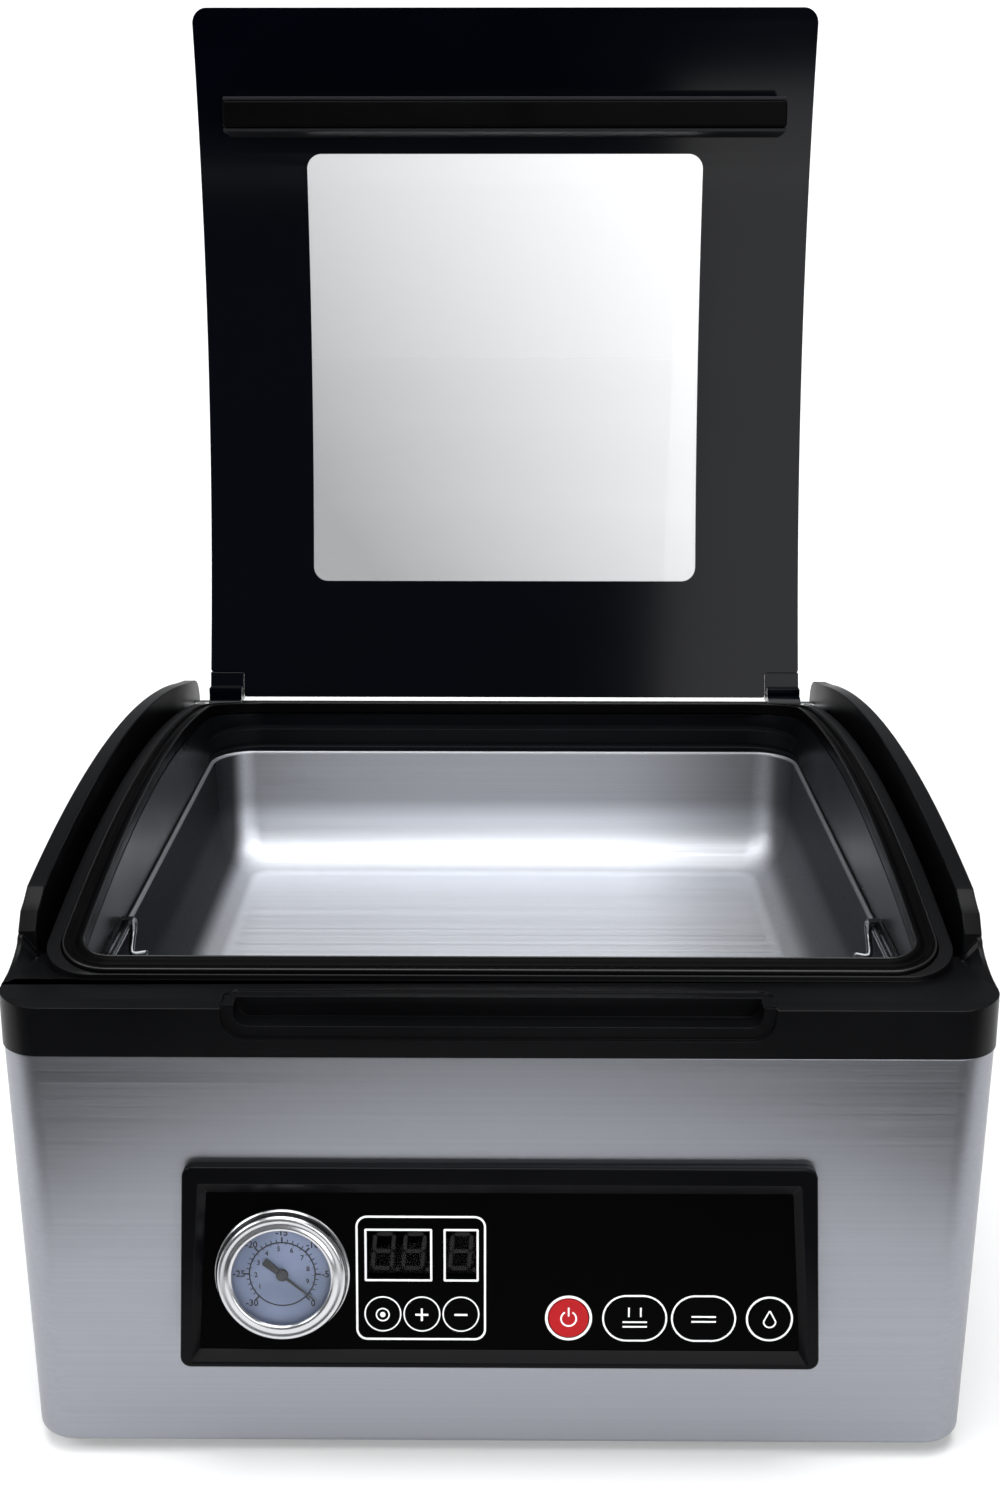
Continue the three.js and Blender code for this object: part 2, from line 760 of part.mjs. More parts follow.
// Black top frame: ledge, arched rim, side guards, hinge bosses and finger recess
function framePlanSlab() {
  const top = ledgeTop;
  const rear = bodyDepth;
  const profile = [
    new THREE.Vector2(0, frameBottom),
    new THREE.Vector2(rear, frameBottom),
    ...arcPoints(rear - rearDeckRound, rearDeckTop - rearDeckRound, rearDeckRound, 0, 90, cornerSteps),
    new THREE.Vector2(slotFront, rearDeckTop),
    new THREE.Vector2(slotFront, top),
    new THREE.Vector2(ledgeBevelDepth, top),
    new THREE.Vector2(0, top - ledgeBevelHeight),
  ];
  return common(
    prism(bodyPlan(0), 'z', frameBottom - overrun, top + overrun),
    prism(profile, 'x', -bodyWidth, bodyWidth));
}

function frameGuards() {
  const crest = lidRadius + guardRise;
  const crestStartHeight = arcHeight(crest, guardCrestStart);
  const nose = new THREE.QuadraticBezierCurve(
    new THREE.Vector2(guardFront + guardLean, ledgeTop + guardShoulder),
    new THREE.Vector2((guardFront + guardLean + guardCrestStart) / 2, crestStartHeight - guardLean / 2),
    new THREE.Vector2(guardCrestStart, crestStartHeight));
  const toe = new THREE.QuadraticBezierCurve(
    new THREE.Vector2(guardToe, ledgeTop),
    new THREE.Vector2(guardToe + guardToeSweep, ledgeTop + guardToeLift),
    new THREE.Vector2(guardFront, ledgeTop + guardToeRise));
  const profile = [
    ...toe.getPoints(cornerSteps),
    new THREE.Vector2(guardFront + guardStep, ledgeTop + guardStepRise),
    ...nose.getPoints(cornerSteps),
    ...arcOutline(crest, guardCrestStart, hingeY - guardEndRadius).slice(1, -1),
    ...arcPoints(hingeY, hingeZ, guardEndRadius, 100, 0, cornerSteps * 2),
    new THREE.Vector2(hingeY + guardEndRadius, frameBottom),
    new THREE.Vector2(guardToe, frameBottom),
  ].reverse();
  const inner = bodyHalfWidth - guardWidth;
  return common(
    prism(bodyPlan(0), 'z', frameBottom, frameBottom + bodyDepth),
    join(prism(profile, 'x', -bodyHalfWidth, -inner), prism(profile, 'x', inner, bodyHalfWidth)));
}

function frameRim() {
  const plan = roundRect(-rimHalfWidth, rimHalfWidth, rimFront, rimRear, rimCornerRadius);
  const shoulder = lidRadius - rimShoulderDrop;
  const slotEnds = sides.map(([, side]) => {
    const [from, to] = sorted(
      side * (rimHalfWidth - rimCornerRadius), side * (bodyHalfWidth - guardWidth + clearance));
    return block(from, to, slotRear, rimRear, frameBottom, frameBottom + bodyDepth);
  });
  return join(
    common(
      prism(plan, 'z', frameBottom, frameBottom + bodyDepth),
      underArc(shoulder, rimFront, rimRear, frameBottom)),
    ...slotEnds.map((end) =>
      common(end, underArc(shoulder - rearDeckRound, slotRear, rimRear, frameBottom))));
}

function fingerRecess() {
  const low = ledgeTop - recessHeight;
  const relief = prism(
    roundRect(-recessHalfWidth, recessHalfWidth, low, ledgeTop + recessHeight, recessCornerRadius),
    'y', -overrun, recessRelief);
  const pocket = prism(
    roundRect(-recessHalfWidth + pocketMargin, recessHalfWidth - pocketMargin,
      low + pocketSill, ledgeTop + recessHeight, pocketCornerRadius),
    'y', -overrun, pocketDepth);
  const topRelief = prism(
    roundRect(-recessHalfWidth, recessHalfWidth, -overrun, recessTopDepth, clearance, pocketCornerRadius),
    'z', ledgeTop - recessTopRelief, ledgeTop + overrun);
  return join(relief, pocket, topRelief);
}

function topFrame() {
  const cavityTop = rearDeckTop - frameRoof;
  const lipInset = shellInset + shellWall + clearance * 2;
  const lip = cut(
    prism(bodyPlan(lipInset), 'z', frameBottom - frameLipDepth, frameBottom + clearance),
    prism(bodyPlan(lipInset + frameLipWall), 'z',
      frameBottom - frameLipDepth - overrun, frameBottom + overrun));
  const cavity = cut(
    prism(bodyPlan(frameWall), 'z', frameBottom - overrun, cavityTop),
    prism(chamberPlan(collarWall + clearance + frameWall), 'z', frameBottom - overrun, cavityTop + overrun));
  const collarOpening = prism(
    chamberPlan(collarWall + clearance), 'z', panEdge - panWall - clearance, frameBottom + bodyDepth);
  const panOpening = prism(
    roundRect(-panHalfWidth - panWall - clearance, panHalfWidth + panWall + clearance,
      panFront - panWall - clearance, panRear + panWall + clearance, panCornerRadius + panWall),
    'z', frameBottom - overrun, frameBottom + bodyDepth);
  const groove = common(
    prism(chamberPlan(gasketWidth + clearance), 'z', frameBottom, frameBottom + bodyDepth),
    overArc(lidRadius - gasketHeight - clearance * 2, gasketInnerFront - gasketWidth - overrun,
      gasketInnerRear + gasketWidth + overrun, frameBottom + bodyDepth));
  const hingeSpaces = sides.map(([, side]) => {
    const [from, to] = sorted(
      side * (lidHalfWidth - hingeBlockWidth - hingeRelief), side * (lidHalfWidth + hingeRelief));
    return join(
      prism(circle(hingeY, hingeZ, hingeBlockRadius + hingeRelief), 'x', from, to),
      block(from, to, lidRear - hingeNotch - hingeRelief, hingeY,
        hingeZ - hingeRelief, hingeZ + hingeBlockRadius * 2));
  });
  const pinBores = sides.map(([, side]) => {
    const [from, to] = sorted(
      side * lidHalfWidth, side * (bodyHalfWidth - guardWidth + hingePinEngage + clearance));
    return prism(circle(hingeY, hingeZ, hingePinRadius + clearance, smallSteps), 'x', from, to);
  });
  return cut(
    join(cut(framePlanSlab(), cavity), frameGuards(), cut(frameRim(), cavity), lip),
    collarOpening, panOpening, groove, fingerRecess(), ...hingeSpaces, ...pinBores);
}

piece('top_frame', topFrame(), satinBlack);

// Gasket loop that follows the arch
function rimGasket() {
  const loop = cut(
    prism(chamberPlan(gasketWidth), 'z', frameBottom, frameBottom + bodyDepth),
    prism(chamberPlan(0), 'z', frameBottom - overrun, frameBottom + bodyDepth + overrun));
  const front = gasketInnerFront - gasketWidth - overrun;
  const rear = gasketInnerRear + gasketWidth + overrun;
  return common(loop,
    underArc(lidRadius - clearance, front, rear, frameBottom),
    overArc(lidRadius - clearance - gasketHeight, front, rear, frameBottom + bodyDepth));
}

piece('rim_gasket', rimGasket(), softBlack);

// Inner wall between the pan's edge and the gasket, stepped at the rear
function chamberCollar() {
  const low = panEdge + clearance;
  const top = lidRadius - gasketHeight - clearance * 2;
  const wall = cut(
    prism(chamberPlan(collarWall), 'z', low, low + bodyDepth),
    prism(chamberPlan(0), 'z', low - overrun, low + bodyDepth + overrun));
  const filler = (front, height) => cut(
    common(prism(chamberPlan(collarWall / 2), 'z', low, low + height),
      block(-bodyWidth, bodyWidth, front - chamberRearRadius, bodyDepth, low, low + height)),
    prism(roundRect(-gasketInnerHalfWidth, gasketInnerHalfWidth, panFront, front, chamberRearRadius), 'z',
      low - overrun, low + height + overrun));
  const arched = underArc(
    top, gasketInnerFront - collarWall - overrun, gasketInnerRear + collarWall + overrun, low);
  return join(
    common(wall, arched),
    filler(collarStepFront, collarStepHeight), filler(collarShelfFront, collarShelfHeight));
}

piece('chamber_collar', chamberCollar(), glossBlack);

// Deep-drawn pan with a flange under the collar
function panSkin(grow, lift) {
  const loops = [];
  const floor = panFloor + lift;
  const radius = panFloorRadius + grow;
  const depth = panEdge - panFloor;
  const cornerLoss = (panCornerRadius - panFloorCorner) / (panDraft + panFloorRadius);
  for (let i = 0; i <= cornerSteps; i += 1) {
    const turn = Math.PI / 2 * i / cornerSteps;
    const inset = panDraft * (1 - radius / depth) + radius * (1 - Math.sin(turn)) - grow;
    loops.push([inset, floor + radius * (1 - Math.cos(turn))]);
  }
  loops.push([-grow, panEdge], [-grow, panEdge + (lift < 0 ? 0 : overrun)]);
  return loft(loops.slice(0, lift < 0 ? -1 : undefined).map(([inset, z]) => planLoop(
    roundRect(-panHalfWidth + inset, panHalfWidth - inset, panFront + inset, panRear - inset,
      panCornerRadius - inset * cornerLoss), z)));
}

function chamberPan() {
  const flange = prism(chamberPlan(collarWall - clearance), 'z', panEdge - panWall, panEdge);
  const liftHoles = sides.map(([, side]) => prism(
    circle(side * liftX, pressureBarY, liftNeckRadius + clearance, smallSteps),
    'z', panFloor - overrun, panFloor + overrun));
  const port = prism(
    circle(portX, portY, portRadius, smallSteps), 'z', panFloor - overrun, panFloor + overrun);
  return cut(join(panSkin(panWall, -panWall), flange), panSkin(0, 0), ...liftHoles, port);
}

piece('chamber_pan', chamberPan(), panSteel);

// Seal bar on two lift rods
const sealY = pressureBarY;
const stripBottom = arcHeight(lidRadius, sealY) - clearance - pressureBarDrop();
const sealTop = stripBottom - sealTravel - clearance;
const barTop = sealTop - heatingStripThickness - clearance;
const barBottom = barTop - sealBarHeight;
const baseTop = barBottom - clearance;
const baseBottom = baseTop - sealBaseHeight;

function pressureBarDrop() {
  return pressureStripHeight + pressureBarWidth + pressureStripWidth / 3;
}

const centredBar = (halfLength, width, from, to) =>
  block(-halfLength, halfLength, sealY - width / 2, sealY + width / 2, from, to);

piece('seal_bar_base', centredBar(sealBaseHalfLength, sealBaseWidth, baseBottom, baseTop), satinBlack);
piece('seal_bar', centredBar(pressureBarHalfLength, sealBarWidth, barBottom, barTop), aluminium);
piece('heating_strip',
  centredBar(pressureBarHalfLength, heatingStripWidth, sealTop - heatingStripThickness, sealTop), nichrome);

for (const [name, side] of sides) {
  const x = side * liftX;
  const cylinderTop = panUnderside - clearance;
  const cylinderBottom = cylinderTop - liftCylinderHeight;
  const rodTop = baseBottom - clearance;
  const rodBottom = cylinderTop - liftRodEngage;
  const boreRadius = liftRodRadius + clearance;
  const neckTop = panFloor + liftNeckRise;
  const profile = [
    [0, cylinderBottom], [liftCylinderRadius, cylinderBottom], [liftCylinderRadius, cylinderTop],
    [liftNeckRadius, cylinderTop], [liftNeckRadius, neckTop], [boreRadius, neckTop],
    [boreRadius, rodBottom - clearance], [0, rodBottom - clearance],
  ];
  piece(`lift_cylinder_${name}`, turned(profile, 'z', x, sealY, 0), aluminium);
  piece(`lift_rod_${name}`,
    turned(disc(liftRodRadius, rodBottom, rodTop), 'z', x, sealY, 0, smallSteps), zincSteel);
}

// Wire bag clips in their brackets, on the collar's side walls
const clipZ = panEdge + clipRise;
const clipX = gasketInnerHalfWidth - clearance - bracketPlate - clipWallGap;

for (const [name, side] of sides) {
  const clip = new THREE.Group();
  clip.position.set(side * clipX, 0, clipZ);
  machine.add(clip);
  const wire = [
    new THREE.Vector3(0, clipFront, 0),
    new THREE.Vector3(0, (clipFront + clipRear) / 2, 0),
    new THREE.Vector3(0, bracketRear, 0),
    new THREE.Vector3(0, clipRear - clipWireRadius * 2, 0),
    new THREE.Vector3(-side * clipDropIn / 3, clipRear, -clipWireRadius),
    new THREE.Vector3(-side * clipDropIn / 2, clipRear - clipWireRadius, -clipWireRadius * 3),
    new THREE.Vector3(-side * clipDropIn, clipDropY + clipWireRadius, -clipDrop + clipWireRadius),
    new THREE.Vector3(-side * clipDropIn * 2, clipDropY, -clipDrop),
    new THREE.Vector3(-side * clipHookIn, clipDropY + clipWireRadius, -clipDrop),
  ];
  piece(`bag_clip_${name}`, tube(wire, clipWireRadius, 0, hoseSides, clipSteps), chrome, clip);

  const wallFace = side * (gasketInnerHalfWidth - clearance);
  const low = panEdge + clearance;
  const lug = (from) => block(...sorted(wallFace, side * (clipX - clipWallGap - clearance)),
    from, from + bracketLug, low, low + bracketHeight);
  const plate = block(...sorted(wallFace, wallFace - side * bracketPlate), bracketFront, bracketRear,
    low, low + bracketHeight);
  const bore = prism(circle(side * clipX, clipZ, clipWireRadius + clearance, smallSteps), 'y',
    bracketFront - overrun, bracketRear + overrun);
  piece(`clip_bracket_${name}`,
    cut(join(plate, lug(bracketFront), lug(bracketRear - bracketLug)), bore), zincSteel);
}

// Lid, drawn closed about the hinge axis and swung open
const lid = new THREE.Group();
lid.position.set(0, hingeY, hingeZ);
lid.rotation.x = -THREE.MathUtils.degToRad(lidOpenAngle);
machine.add(lid);

function lidPiece(name, shape, finish) {
  const geometry = geometryOf(shape);
  geometry.translate(0, -hingeY, -hingeZ);
  return piece(name, geometry, finish, lid);
}

// Depth of a point of the lid that lies a distance along the arc from its front edge
const lidDepthAt = (distance) => arcCentre.x - lidRadius * Math.sin(lidHalfAngle - distance / lidRadius);

function lidSheet(innerRadius, outerRadius, cornerRadius) {
  const plan = roundRect(-lidHalfWidth, lidHalfWidth, lidFront, lidRear, cornerRadius);
  const notches = sides.map(([, side]) => {
    const [from, to] = sorted(
      side * (lidHalfWidth - hingeBlockWidth - clearance * 2), side * (lidHalfWidth + overrun));
    return block(from, to, lidRear - hingeNotch, lidRear + overrun, frameBottom, frameBottom + bodyDepth);
  });
  return cut(
    common(prism(plan, 'z', frameBottom, frameBottom + bodyDepth),
      underArc(outerRadius, lidFront - overrun, lidRear + overrun, frameBottom),
      overArc(innerRadius, lidFront - overrun, lidRear + overrun, frameBottom + bodyDepth)),
    ...notches);
}

const glassInner = lidRadius + maskThickness + clearance;
const glassOuter = lidRadius + lidThickness;
lidPiece('lid_glass', lidSheet(glassInner, glassOuter, lidCornerRadius), clearGlass);

const maskWindow = prism(
  roundRect(-windowHalfWidth, windowHalfWidth, lidDepthAt(windowStart), lidDepthAt(windowEnd), windowRadius),
  'z', frameBottom, frameBottom + bodyDepth);
lidPiece('lid_border',
  cut(lidSheet(lidRadius, lidRadius + maskThickness, lidCornerRadius), maskWindow), panelBlack);

const holderBottom = stripBottom + pressureStripProud;
const stripTop = stripBottom + pressureStripHeight;

function pressureHolder() {
  const front = sealY - pressureBarWidth / 2;
  const rear = sealY + pressureBarWidth / 2;
  const groove = centredBar(pressureBarHalfLength + overrun, pressureStripWidth + clearance * 2,
    holderBottom - overrun, stripTop + clearance);
  const body = prism(
    [...arcOutline(lidRadius - clearance, front, rear, cornerSteps),
      new THREE.Vector2(rear, holderBottom), new THREE.Vector2(front, holderBottom)].reverse(),
    'x', -pressureBarHalfLength, pressureBarHalfLength);
  return cut(body, groove);
}

lidPiece('pressure_bar', pressureHolder(), satinBlack);
lidPiece('pressure_strip',
  centredBar(pressureBarHalfLength, pressureStripWidth, stripBottom, stripTop), softBlack);

for (const [name, side] of sides) {
  const [from, to] = sorted(side * (lidHalfWidth - hingeBlockWidth), side * (lidHalfWidth - clearance));
  const plateFront = hingeY - hingeBlockReach;
  const plateRear = hingeY - hingeWebBack;
  const plate = prism(
    [...arcOutline(glassOuter + clearance, plateFront, plateRear, cornerSteps),
      ...arcOutline(glassOuter + clearance + hingeBlockPlate, plateFront, plateRear, cornerSteps).reverse()],
    'x', from, to);
  const knuckleRadius = side > 0 ? hingeBlockRadius : hingeBlockRadiusLeft;
  const knuckle = prism(circle(hingeY, hingeZ, knuckleRadius), 'x', from, to);
  const web = block(from, to, plateRear - hingeWebDepth, plateRear,
    hingeZ, arcHeight(glassOuter + clearance, plateRear) + hingeBlockPlate / 2);
  const bore = prism(circle(hingeY, hingeZ, hingePinRadius + clearance, smallSteps), 'x',
    from - overrun, to + overrun);
  lidPiece(`hinge_block_${name}`, cut(join(plate, knuckle, web), bore), satinBlack);

  piece(`hinge_pin_${name}`, prism(circle(hingeY, hingeZ, hingePinRadius, smallSteps), 'x',
    ...sorted(side * (lidHalfWidth - hingeBlockWidth), side * (bodyHalfWidth - guardWidth + hingePinEngage))),
  zincSteel);
}

// Control panel: its group has the bezel's front face at y = 0 and its top edge at z = 0
const panel = new THREE.Group();
panel.position.set(panelShift, shellInset - panelProud, panelTop);
panel.rotation.x = -THREE.MathUtils.degToRad(panelTiltAngle);
machine.add(panel);
panel.updateMatrixWorld(true);

const faceFront = bezelRecess + clearance;
const faceBack = faceFront + faceThickness;
const openTop = bezelTopBar + bezelTopSlope;
const openBottom = bezelHeight - bezelBottomBar - bezelBottomSlope;
const faceTop = openTop - faceMargin + clearance;
const faceBottom = openBottom + faceMargin / 2;

// Half widths that grow from the bezel's top edge towards its bottom edge
const flared = (points, gain) => points.map((point) =>
  new THREE.Vector2(point.x - Math.sign(point.x) * gain * point.y / bezelHeight, point.y));

function panelBezel() {
  const outline = roundRect(-bezelHalfWidth, bezelHalfWidth, -bezelHeight, 0, bezelRadius);
  const outer = prism(flared(outline, bezelFlare), 'y', 0, bezelBlock);
  const backPlane = block(-bodyWidth, bodyWidth, shellInset - clearance, bodyDepth, -bodyDepth, bodyDepth);
  backPlane.applyMatrix4(panel.matrixWorld.clone().invert());
  const funnelLoop = (halfWidth, top, bottom, y) =>
    flared(rect(-halfWidth, halfWidth, -bottom, -top), openingFlare)
      .map((point) => new THREE.Vector3(point.x, y, point.y));
  const sideBar = bezelHalfWidth - bezelSideBar;
  const funnel = loft([
    funnelLoop(openHalfWidth, openTop, openBottom, bezelRecess + overrun),
    funnelLoop(openHalfWidth, openTop, openBottom, bezelRecess),
    funnelLoop(sideBar, bezelTopBar, bezelHeight - bezelBottomBar, 0),
    funnelLoop(sideBar, bezelTopBar, bezelHeight - bezelBottomBar, -overrun),
  ]);
  const pocketHalf = faceHalfWidth + clearance;
  const rearPocket = prism(
    rect(-pocketHalf, pocketHalf, -faceBottom - clearance, -faceTop + clearance),
    'y', bezelRecess, bezelBlock + overrun);
  return cut(outer, backPlane, funnel, rearPocket);
}

piece('panel_bezel', panelBezel(), satinBlack, panel);

const windows = [
  [windowLeft, windowLongWidth], [windowShortLeft, windowShortWidth],
];
const smallKeys = ['set', 'plus', 'minus'].map((name, i) =>
  [`key_${name}`, smallKeyFirst + i * smallKeyPitch, smallKeyRow, smallKeyRadius, smallKeyRadius]);
const bigKeys = [
  ['key_cancel', cancelKeyX, keyRow, cancelKeyRadius, cancelKeyRadius],
  ['key_vacuum_and_seal', vacuumKeyX, keyRow, longKeyHalfWidth, longKeyHalfHeight],
  ['key_seal', sealKeyX, keyRow, longKeyHalfWidth, longKeyHalfHeight],
  ['key_marinate', marinateKeyX, keyRow, marinateKeyRadius, marinateKeyRadius],
];
const keys = [...smallKeys, ...bigKeys];

// A key's outline about its centre, with fully rounded ends, grown by a margin
const keyOutline = (x, drop, halfWidth, halfHeight, margin) => (halfWidth === halfHeight
  ? circle(x, -drop, halfWidth + margin)
  : roundRect(x - halfWidth - margin, x + halfWidth + margin, -drop - halfHeight - margin,
    -drop + halfHeight + margin, halfHeight + margin - clearance));

function panelFace() {
  const plate = prism(
    rect(-faceHalfWidth, faceHalfWidth, -faceBottom, -faceTop), 'y', faceFront, faceBack);
  const through = [faceFront - overrun, faceBack + overrun];
  const keyHoles = keys.map(([, x, drop, halfWidth, halfHeight]) =>
    prism(keyOutline(x, drop, halfWidth, halfHeight, clearance), 'y', ...through));
  const windowHoles = windows.map(([left, width]) => prism(
    rect(left + windowFrame, left + width - windowFrame, -windowTop - windowHeight + windowFrame,
      -windowTop - windowFrame), 'y', ...through));
  const gaugeHole = prism(circle(gaugeX, -gaugeDrop, gaugeCaseRadius + clearance), 'y', ...through);
  return cut(plate, ...keyHoles, ...windowHoles, gaugeHole);
}

piece('panel_face', panelFace(), panelBlack, panel);

for (const [name, x, drop, halfWidth, halfHeight] of keys) {
  const finish = name === 'key_cancel' ? keyRed : panelBlack;
  const cap = prism(
    keyOutline(x, drop, halfWidth, halfHeight, 0), 'y', faceFront - keyProud, faceBack + clearance * 2);
  const flange = prism(keyOutline(x, drop, halfWidth, halfHeight, keyFlangeWidth), 'y',
    faceBack + clearance, faceBack + clearance + keyFlange);
  piece(name, join(cap, flange), finish, panel);
}

// Display window, digit modules and the board that carries them and the key switches
const lensFront = faceBack + clearance;
const lensBack = lensFront + windowPlateThickness;
const lensRight = windowShortLeft + windowShortWidth;
piece('display_window', prism(
  rect(windowLeft - windowPlateMargin, lensRight + windowPlateMargin,
    -windowTop - windowHeight - windowPlateMargin, -windowTop + windowPlateMargin),
  'y', lensFront, lensBack), smokedLens, panel);

const moduleFront = lensBack + clearance;
const moduleBack = moduleFront + moduleDepth;
const moduleLow = -windowTop - (windowHeight + moduleHeight) / 2;

function displayModule(name, centre, width) {
  const outline = rect(centre - width / 2, centre + width / 2, moduleLow, moduleLow + moduleHeight);
  piece(name, prism(outline, 'y', moduleFront, moduleBack), glossBlack, panel);
}

displayModule('display_two_digits', windowLeft + windowLongWidth / 2, moduleLongWidth);
displayModule('display_one_digit', windowShortLeft + windowShortWidth / 2, moduleShortWidth);

function controlBoard() {
  const front = moduleBack + clearance;
  const board = prism(
    rect(boardLeft, boardRight, -boardBottom, -boardTop), 'y', front, front + boardThickness);
  const switchFace = faceBack + clearance + keyFlange + keyTravel + clearance;
  const switches = keys.map(([, x, drop, halfWidth, halfHeight]) => {
    const half = Math.min(halfWidth, halfHeight) / 2;
    return prism(rect(x - half, x + half, -drop - half, -drop + half), 'y', switchFace, front + clearance);
  });
  return join(board, ...switches);
}

piece('control_board', controlBoard(), boardGreen, panel);

// Vacuum gauge through the panel face, turned about the panel's normal
const gauge = new THREE.Group();
gauge.position.set(gaugeX, 0, -gaugeDrop);
panel.add(gauge);

const ringBack = faceFront - clearance;
const needleStack = needleLift + needleThickness * 1.5 + gaugeNeedleGap;
const ringFront = ringBack - clearance - gaugeDialThickness - needleStack
  - gaugeLensThickness - clearance - gaugeLip;
const lensSeat = ringFront + gaugeLip + clearance;
const dialBack = ringBack - clearance;
const dialFront = dialBack - gaugeDialThickness;
const ringMid = (gaugeRadius + gaugeOpening) / 2;
const ringStep = (gaugeRadius - gaugeOpening) / 4;

piece('gauge_ring', turned([
  [gaugeBore, lensSeat - clearance], [gaugeOpening, lensSeat - clearance],
  [gaugeOpening, ringFront + gaugeLip / 2], [ringMid - ringStep, ringFront],
  [ringMid + ringStep, ringFront], [gaugeRadius - ringStep / 2, ringFront + gaugeLip],
  [gaugeRadius - ringStep / 2, ringBack - gaugeLip], [gaugeRadius, ringBack - gaugeLip],
  [gaugeRadius, ringBack], [gaugeBore, ringBack], [gaugeBore, lensSeat - clearance],
], 'y', 0, 0, 0), chrome, gauge);

piece('gauge_lens',
  turned(disc(gaugeBore - clearance, lensSeat, lensSeat + gaugeLensThickness), 'y', 0, 0, 0),
  clearGlass, gauge);

const shaftHole = needleShaftRadius + clearance;
piece('gauge_dial', turned([
  [shaftHole, dialFront], [gaugeBore - clearance, dialFront], [gaugeBore - clearance, dialBack],
  [shaftHole, dialBack], [shaftHole, dialFront],
], 'y', 0, 0, 0), dialBlue, gauge);

const caseFront = faceFront;
const caseBack = caseFront + gaugeCaseDepth;
const caseBore = gaugeCaseRadius - gaugeCaseWall;
const caseFloor = dialFront + needleShaftLength + clearance;
piece('gauge_case', turned([
  [0, caseFloor], [caseBore, caseFloor], [caseBore, caseFront], [gaugeCaseRadius, caseFront],
  [gaugeCaseRadius, caseBack], [gaugePortRadius, caseBack], [gaugePortRadius, caseBack + gaugePortLength],
  [0, caseBack + gaugePortLength],
], 'y', 0, 0, 0), satinBlack, gauge);

function gaugeNeedle() {
  const back = dialFront - needleLift;
  const front = back - needleThickness;
  const upper = [
    [needleTip, needleTipWidth / 4], [0, needleTipWidth],
    [-gaugeHubRadius, needleTailWidth / 2], [-needleTail, needleTailWidth / 2],
  ];
  const lower = upper.map(([x, z]) => [x, -z]).reverse();
  const outline = [...upper, ...lower].map(([x, z]) => new THREE.Vector2(x, z));
  const blade = prism(outline, 'y', front, back);
  const hub = turned(
    disc(gaugeHubRadius, front - needleThickness / 2, back + needleThickness / 2), 'y', 0, 0, 0, smallSteps);
  const shaft = turned(
    disc(needleShaftRadius, back, dialFront + needleShaftLength), 'y', 0, 0, 0, smallSteps);
  return join(blade, hub, shaft);
}

const needle = piece('gauge_needle', gaugeNeedle(), needleBlack, gauge);
needle.rotation.y = -THREE.MathUtils.degToRad(needleRestAngle);

// Vacuum pump: motor, head and the impeller on the motor's shaft
function pumpMotor() {
  const right = motorLeft + motorLength;
  const barrel = turned([
    [0, motorLeft], [motorRadius - motorEndStep, motorLeft], [motorRadius, motorLeft + motorEndStep],
    [motorRadius, right - motorEndStep], [motorRadius - motorEndStep, right], [0, right],
  ], 'x', 0, motorY, motorZ);
  const middle = motorLeft + motorLength / 2;
  const foot = block(middle - motorFootLength / 2, middle + motorFootLength / 2,
    motorY - motorFootWidth / 2, motorY + motorFootWidth / 2, machineFloor, machineFloor + motorFootHeight);
  const bore = prism(circle(motorY, motorZ, motorShaftRadius + clearance, smallSteps), 'x',
    right - motorShaftEngage - clearance, right + overrun);
  return cut(join(barrel, foot), bore);
}

piece('pump_motor', pumpMotor(), castGrey);

const pumpRight = motorLeft - clearance;
const pumpLeft = pumpRight - pumpHeadLength;
const pumpMiddle = (pumpRight + pumpLeft) / 2;

function pumpHead() {
  const half = pumpHeadWidth / 2;
  const rise = pumpHeadHeight / 2;
  const outline = [
    [-half, -rise], [half, -rise],
    [half, rise - pumpHeadBevel], [half - pumpHeadBevel, rise],
    [pumpHeadBevel - half, rise], [-half, rise - pumpHeadBevel],
  ].map(([y, z]) => new THREE.Vector2(motorY + y, motorZ + z));
  const crankcase = prism(outline, 'x', pumpLeft, pumpRight);
  const cap = turned(
    disc(pumpCapRadius, pumpTop - clearance, pumpTop + pumpCapHeight), 'z', pumpMiddle, motorY, 0);
  const port = turned(disc(pumpPortRadius, motorY - pumpHeadWidth / 2 - pumpPortLength, motorY), 'y',
    pumpMiddle, 0, motorZ, smallSteps);
  return join(crankcase, cap, port);
}

piece('pump_head', pumpHead(), aluminium);

function pumpImpeller() {
  const start = motorLeft + motorLength + impellerGap;
  const end = start + impellerWidth;
  const hub = turned(disc(impellerHub, start, end), 'x', 0, motorY, motorZ, smallSteps);
  const shaft = turned(
    disc(motorShaftRadius, start - impellerGap - motorShaftEngage, end), 'x', 0, motorY, motorZ, smallSteps);
  const backplate = turned(
    disc(impellerRadius, start, start + impellerBladeThickness), 'x', 0, motorY, motorZ);
  const bladeRoot = impellerHub / 2;
  const blades = Array.from({ length: impellerBlades }, (_, i) => {
    const blade = new THREE.BoxGeometry(impellerWidth, impellerBladeThickness, impellerRadius - bladeRoot);
    blade.translate(0, 0, (impellerRadius + bladeRoot) / 2);
    blade.rotateX(Math.PI * 2 * i / impellerBlades);
    blade.translate(start + impellerWidth / 2, motorY, motorZ);
    return blade;
  });
  return join(hub, shaft, backplate, ...blades);
}

piece('pump_impeller', pumpImpeller(), satinBlack);

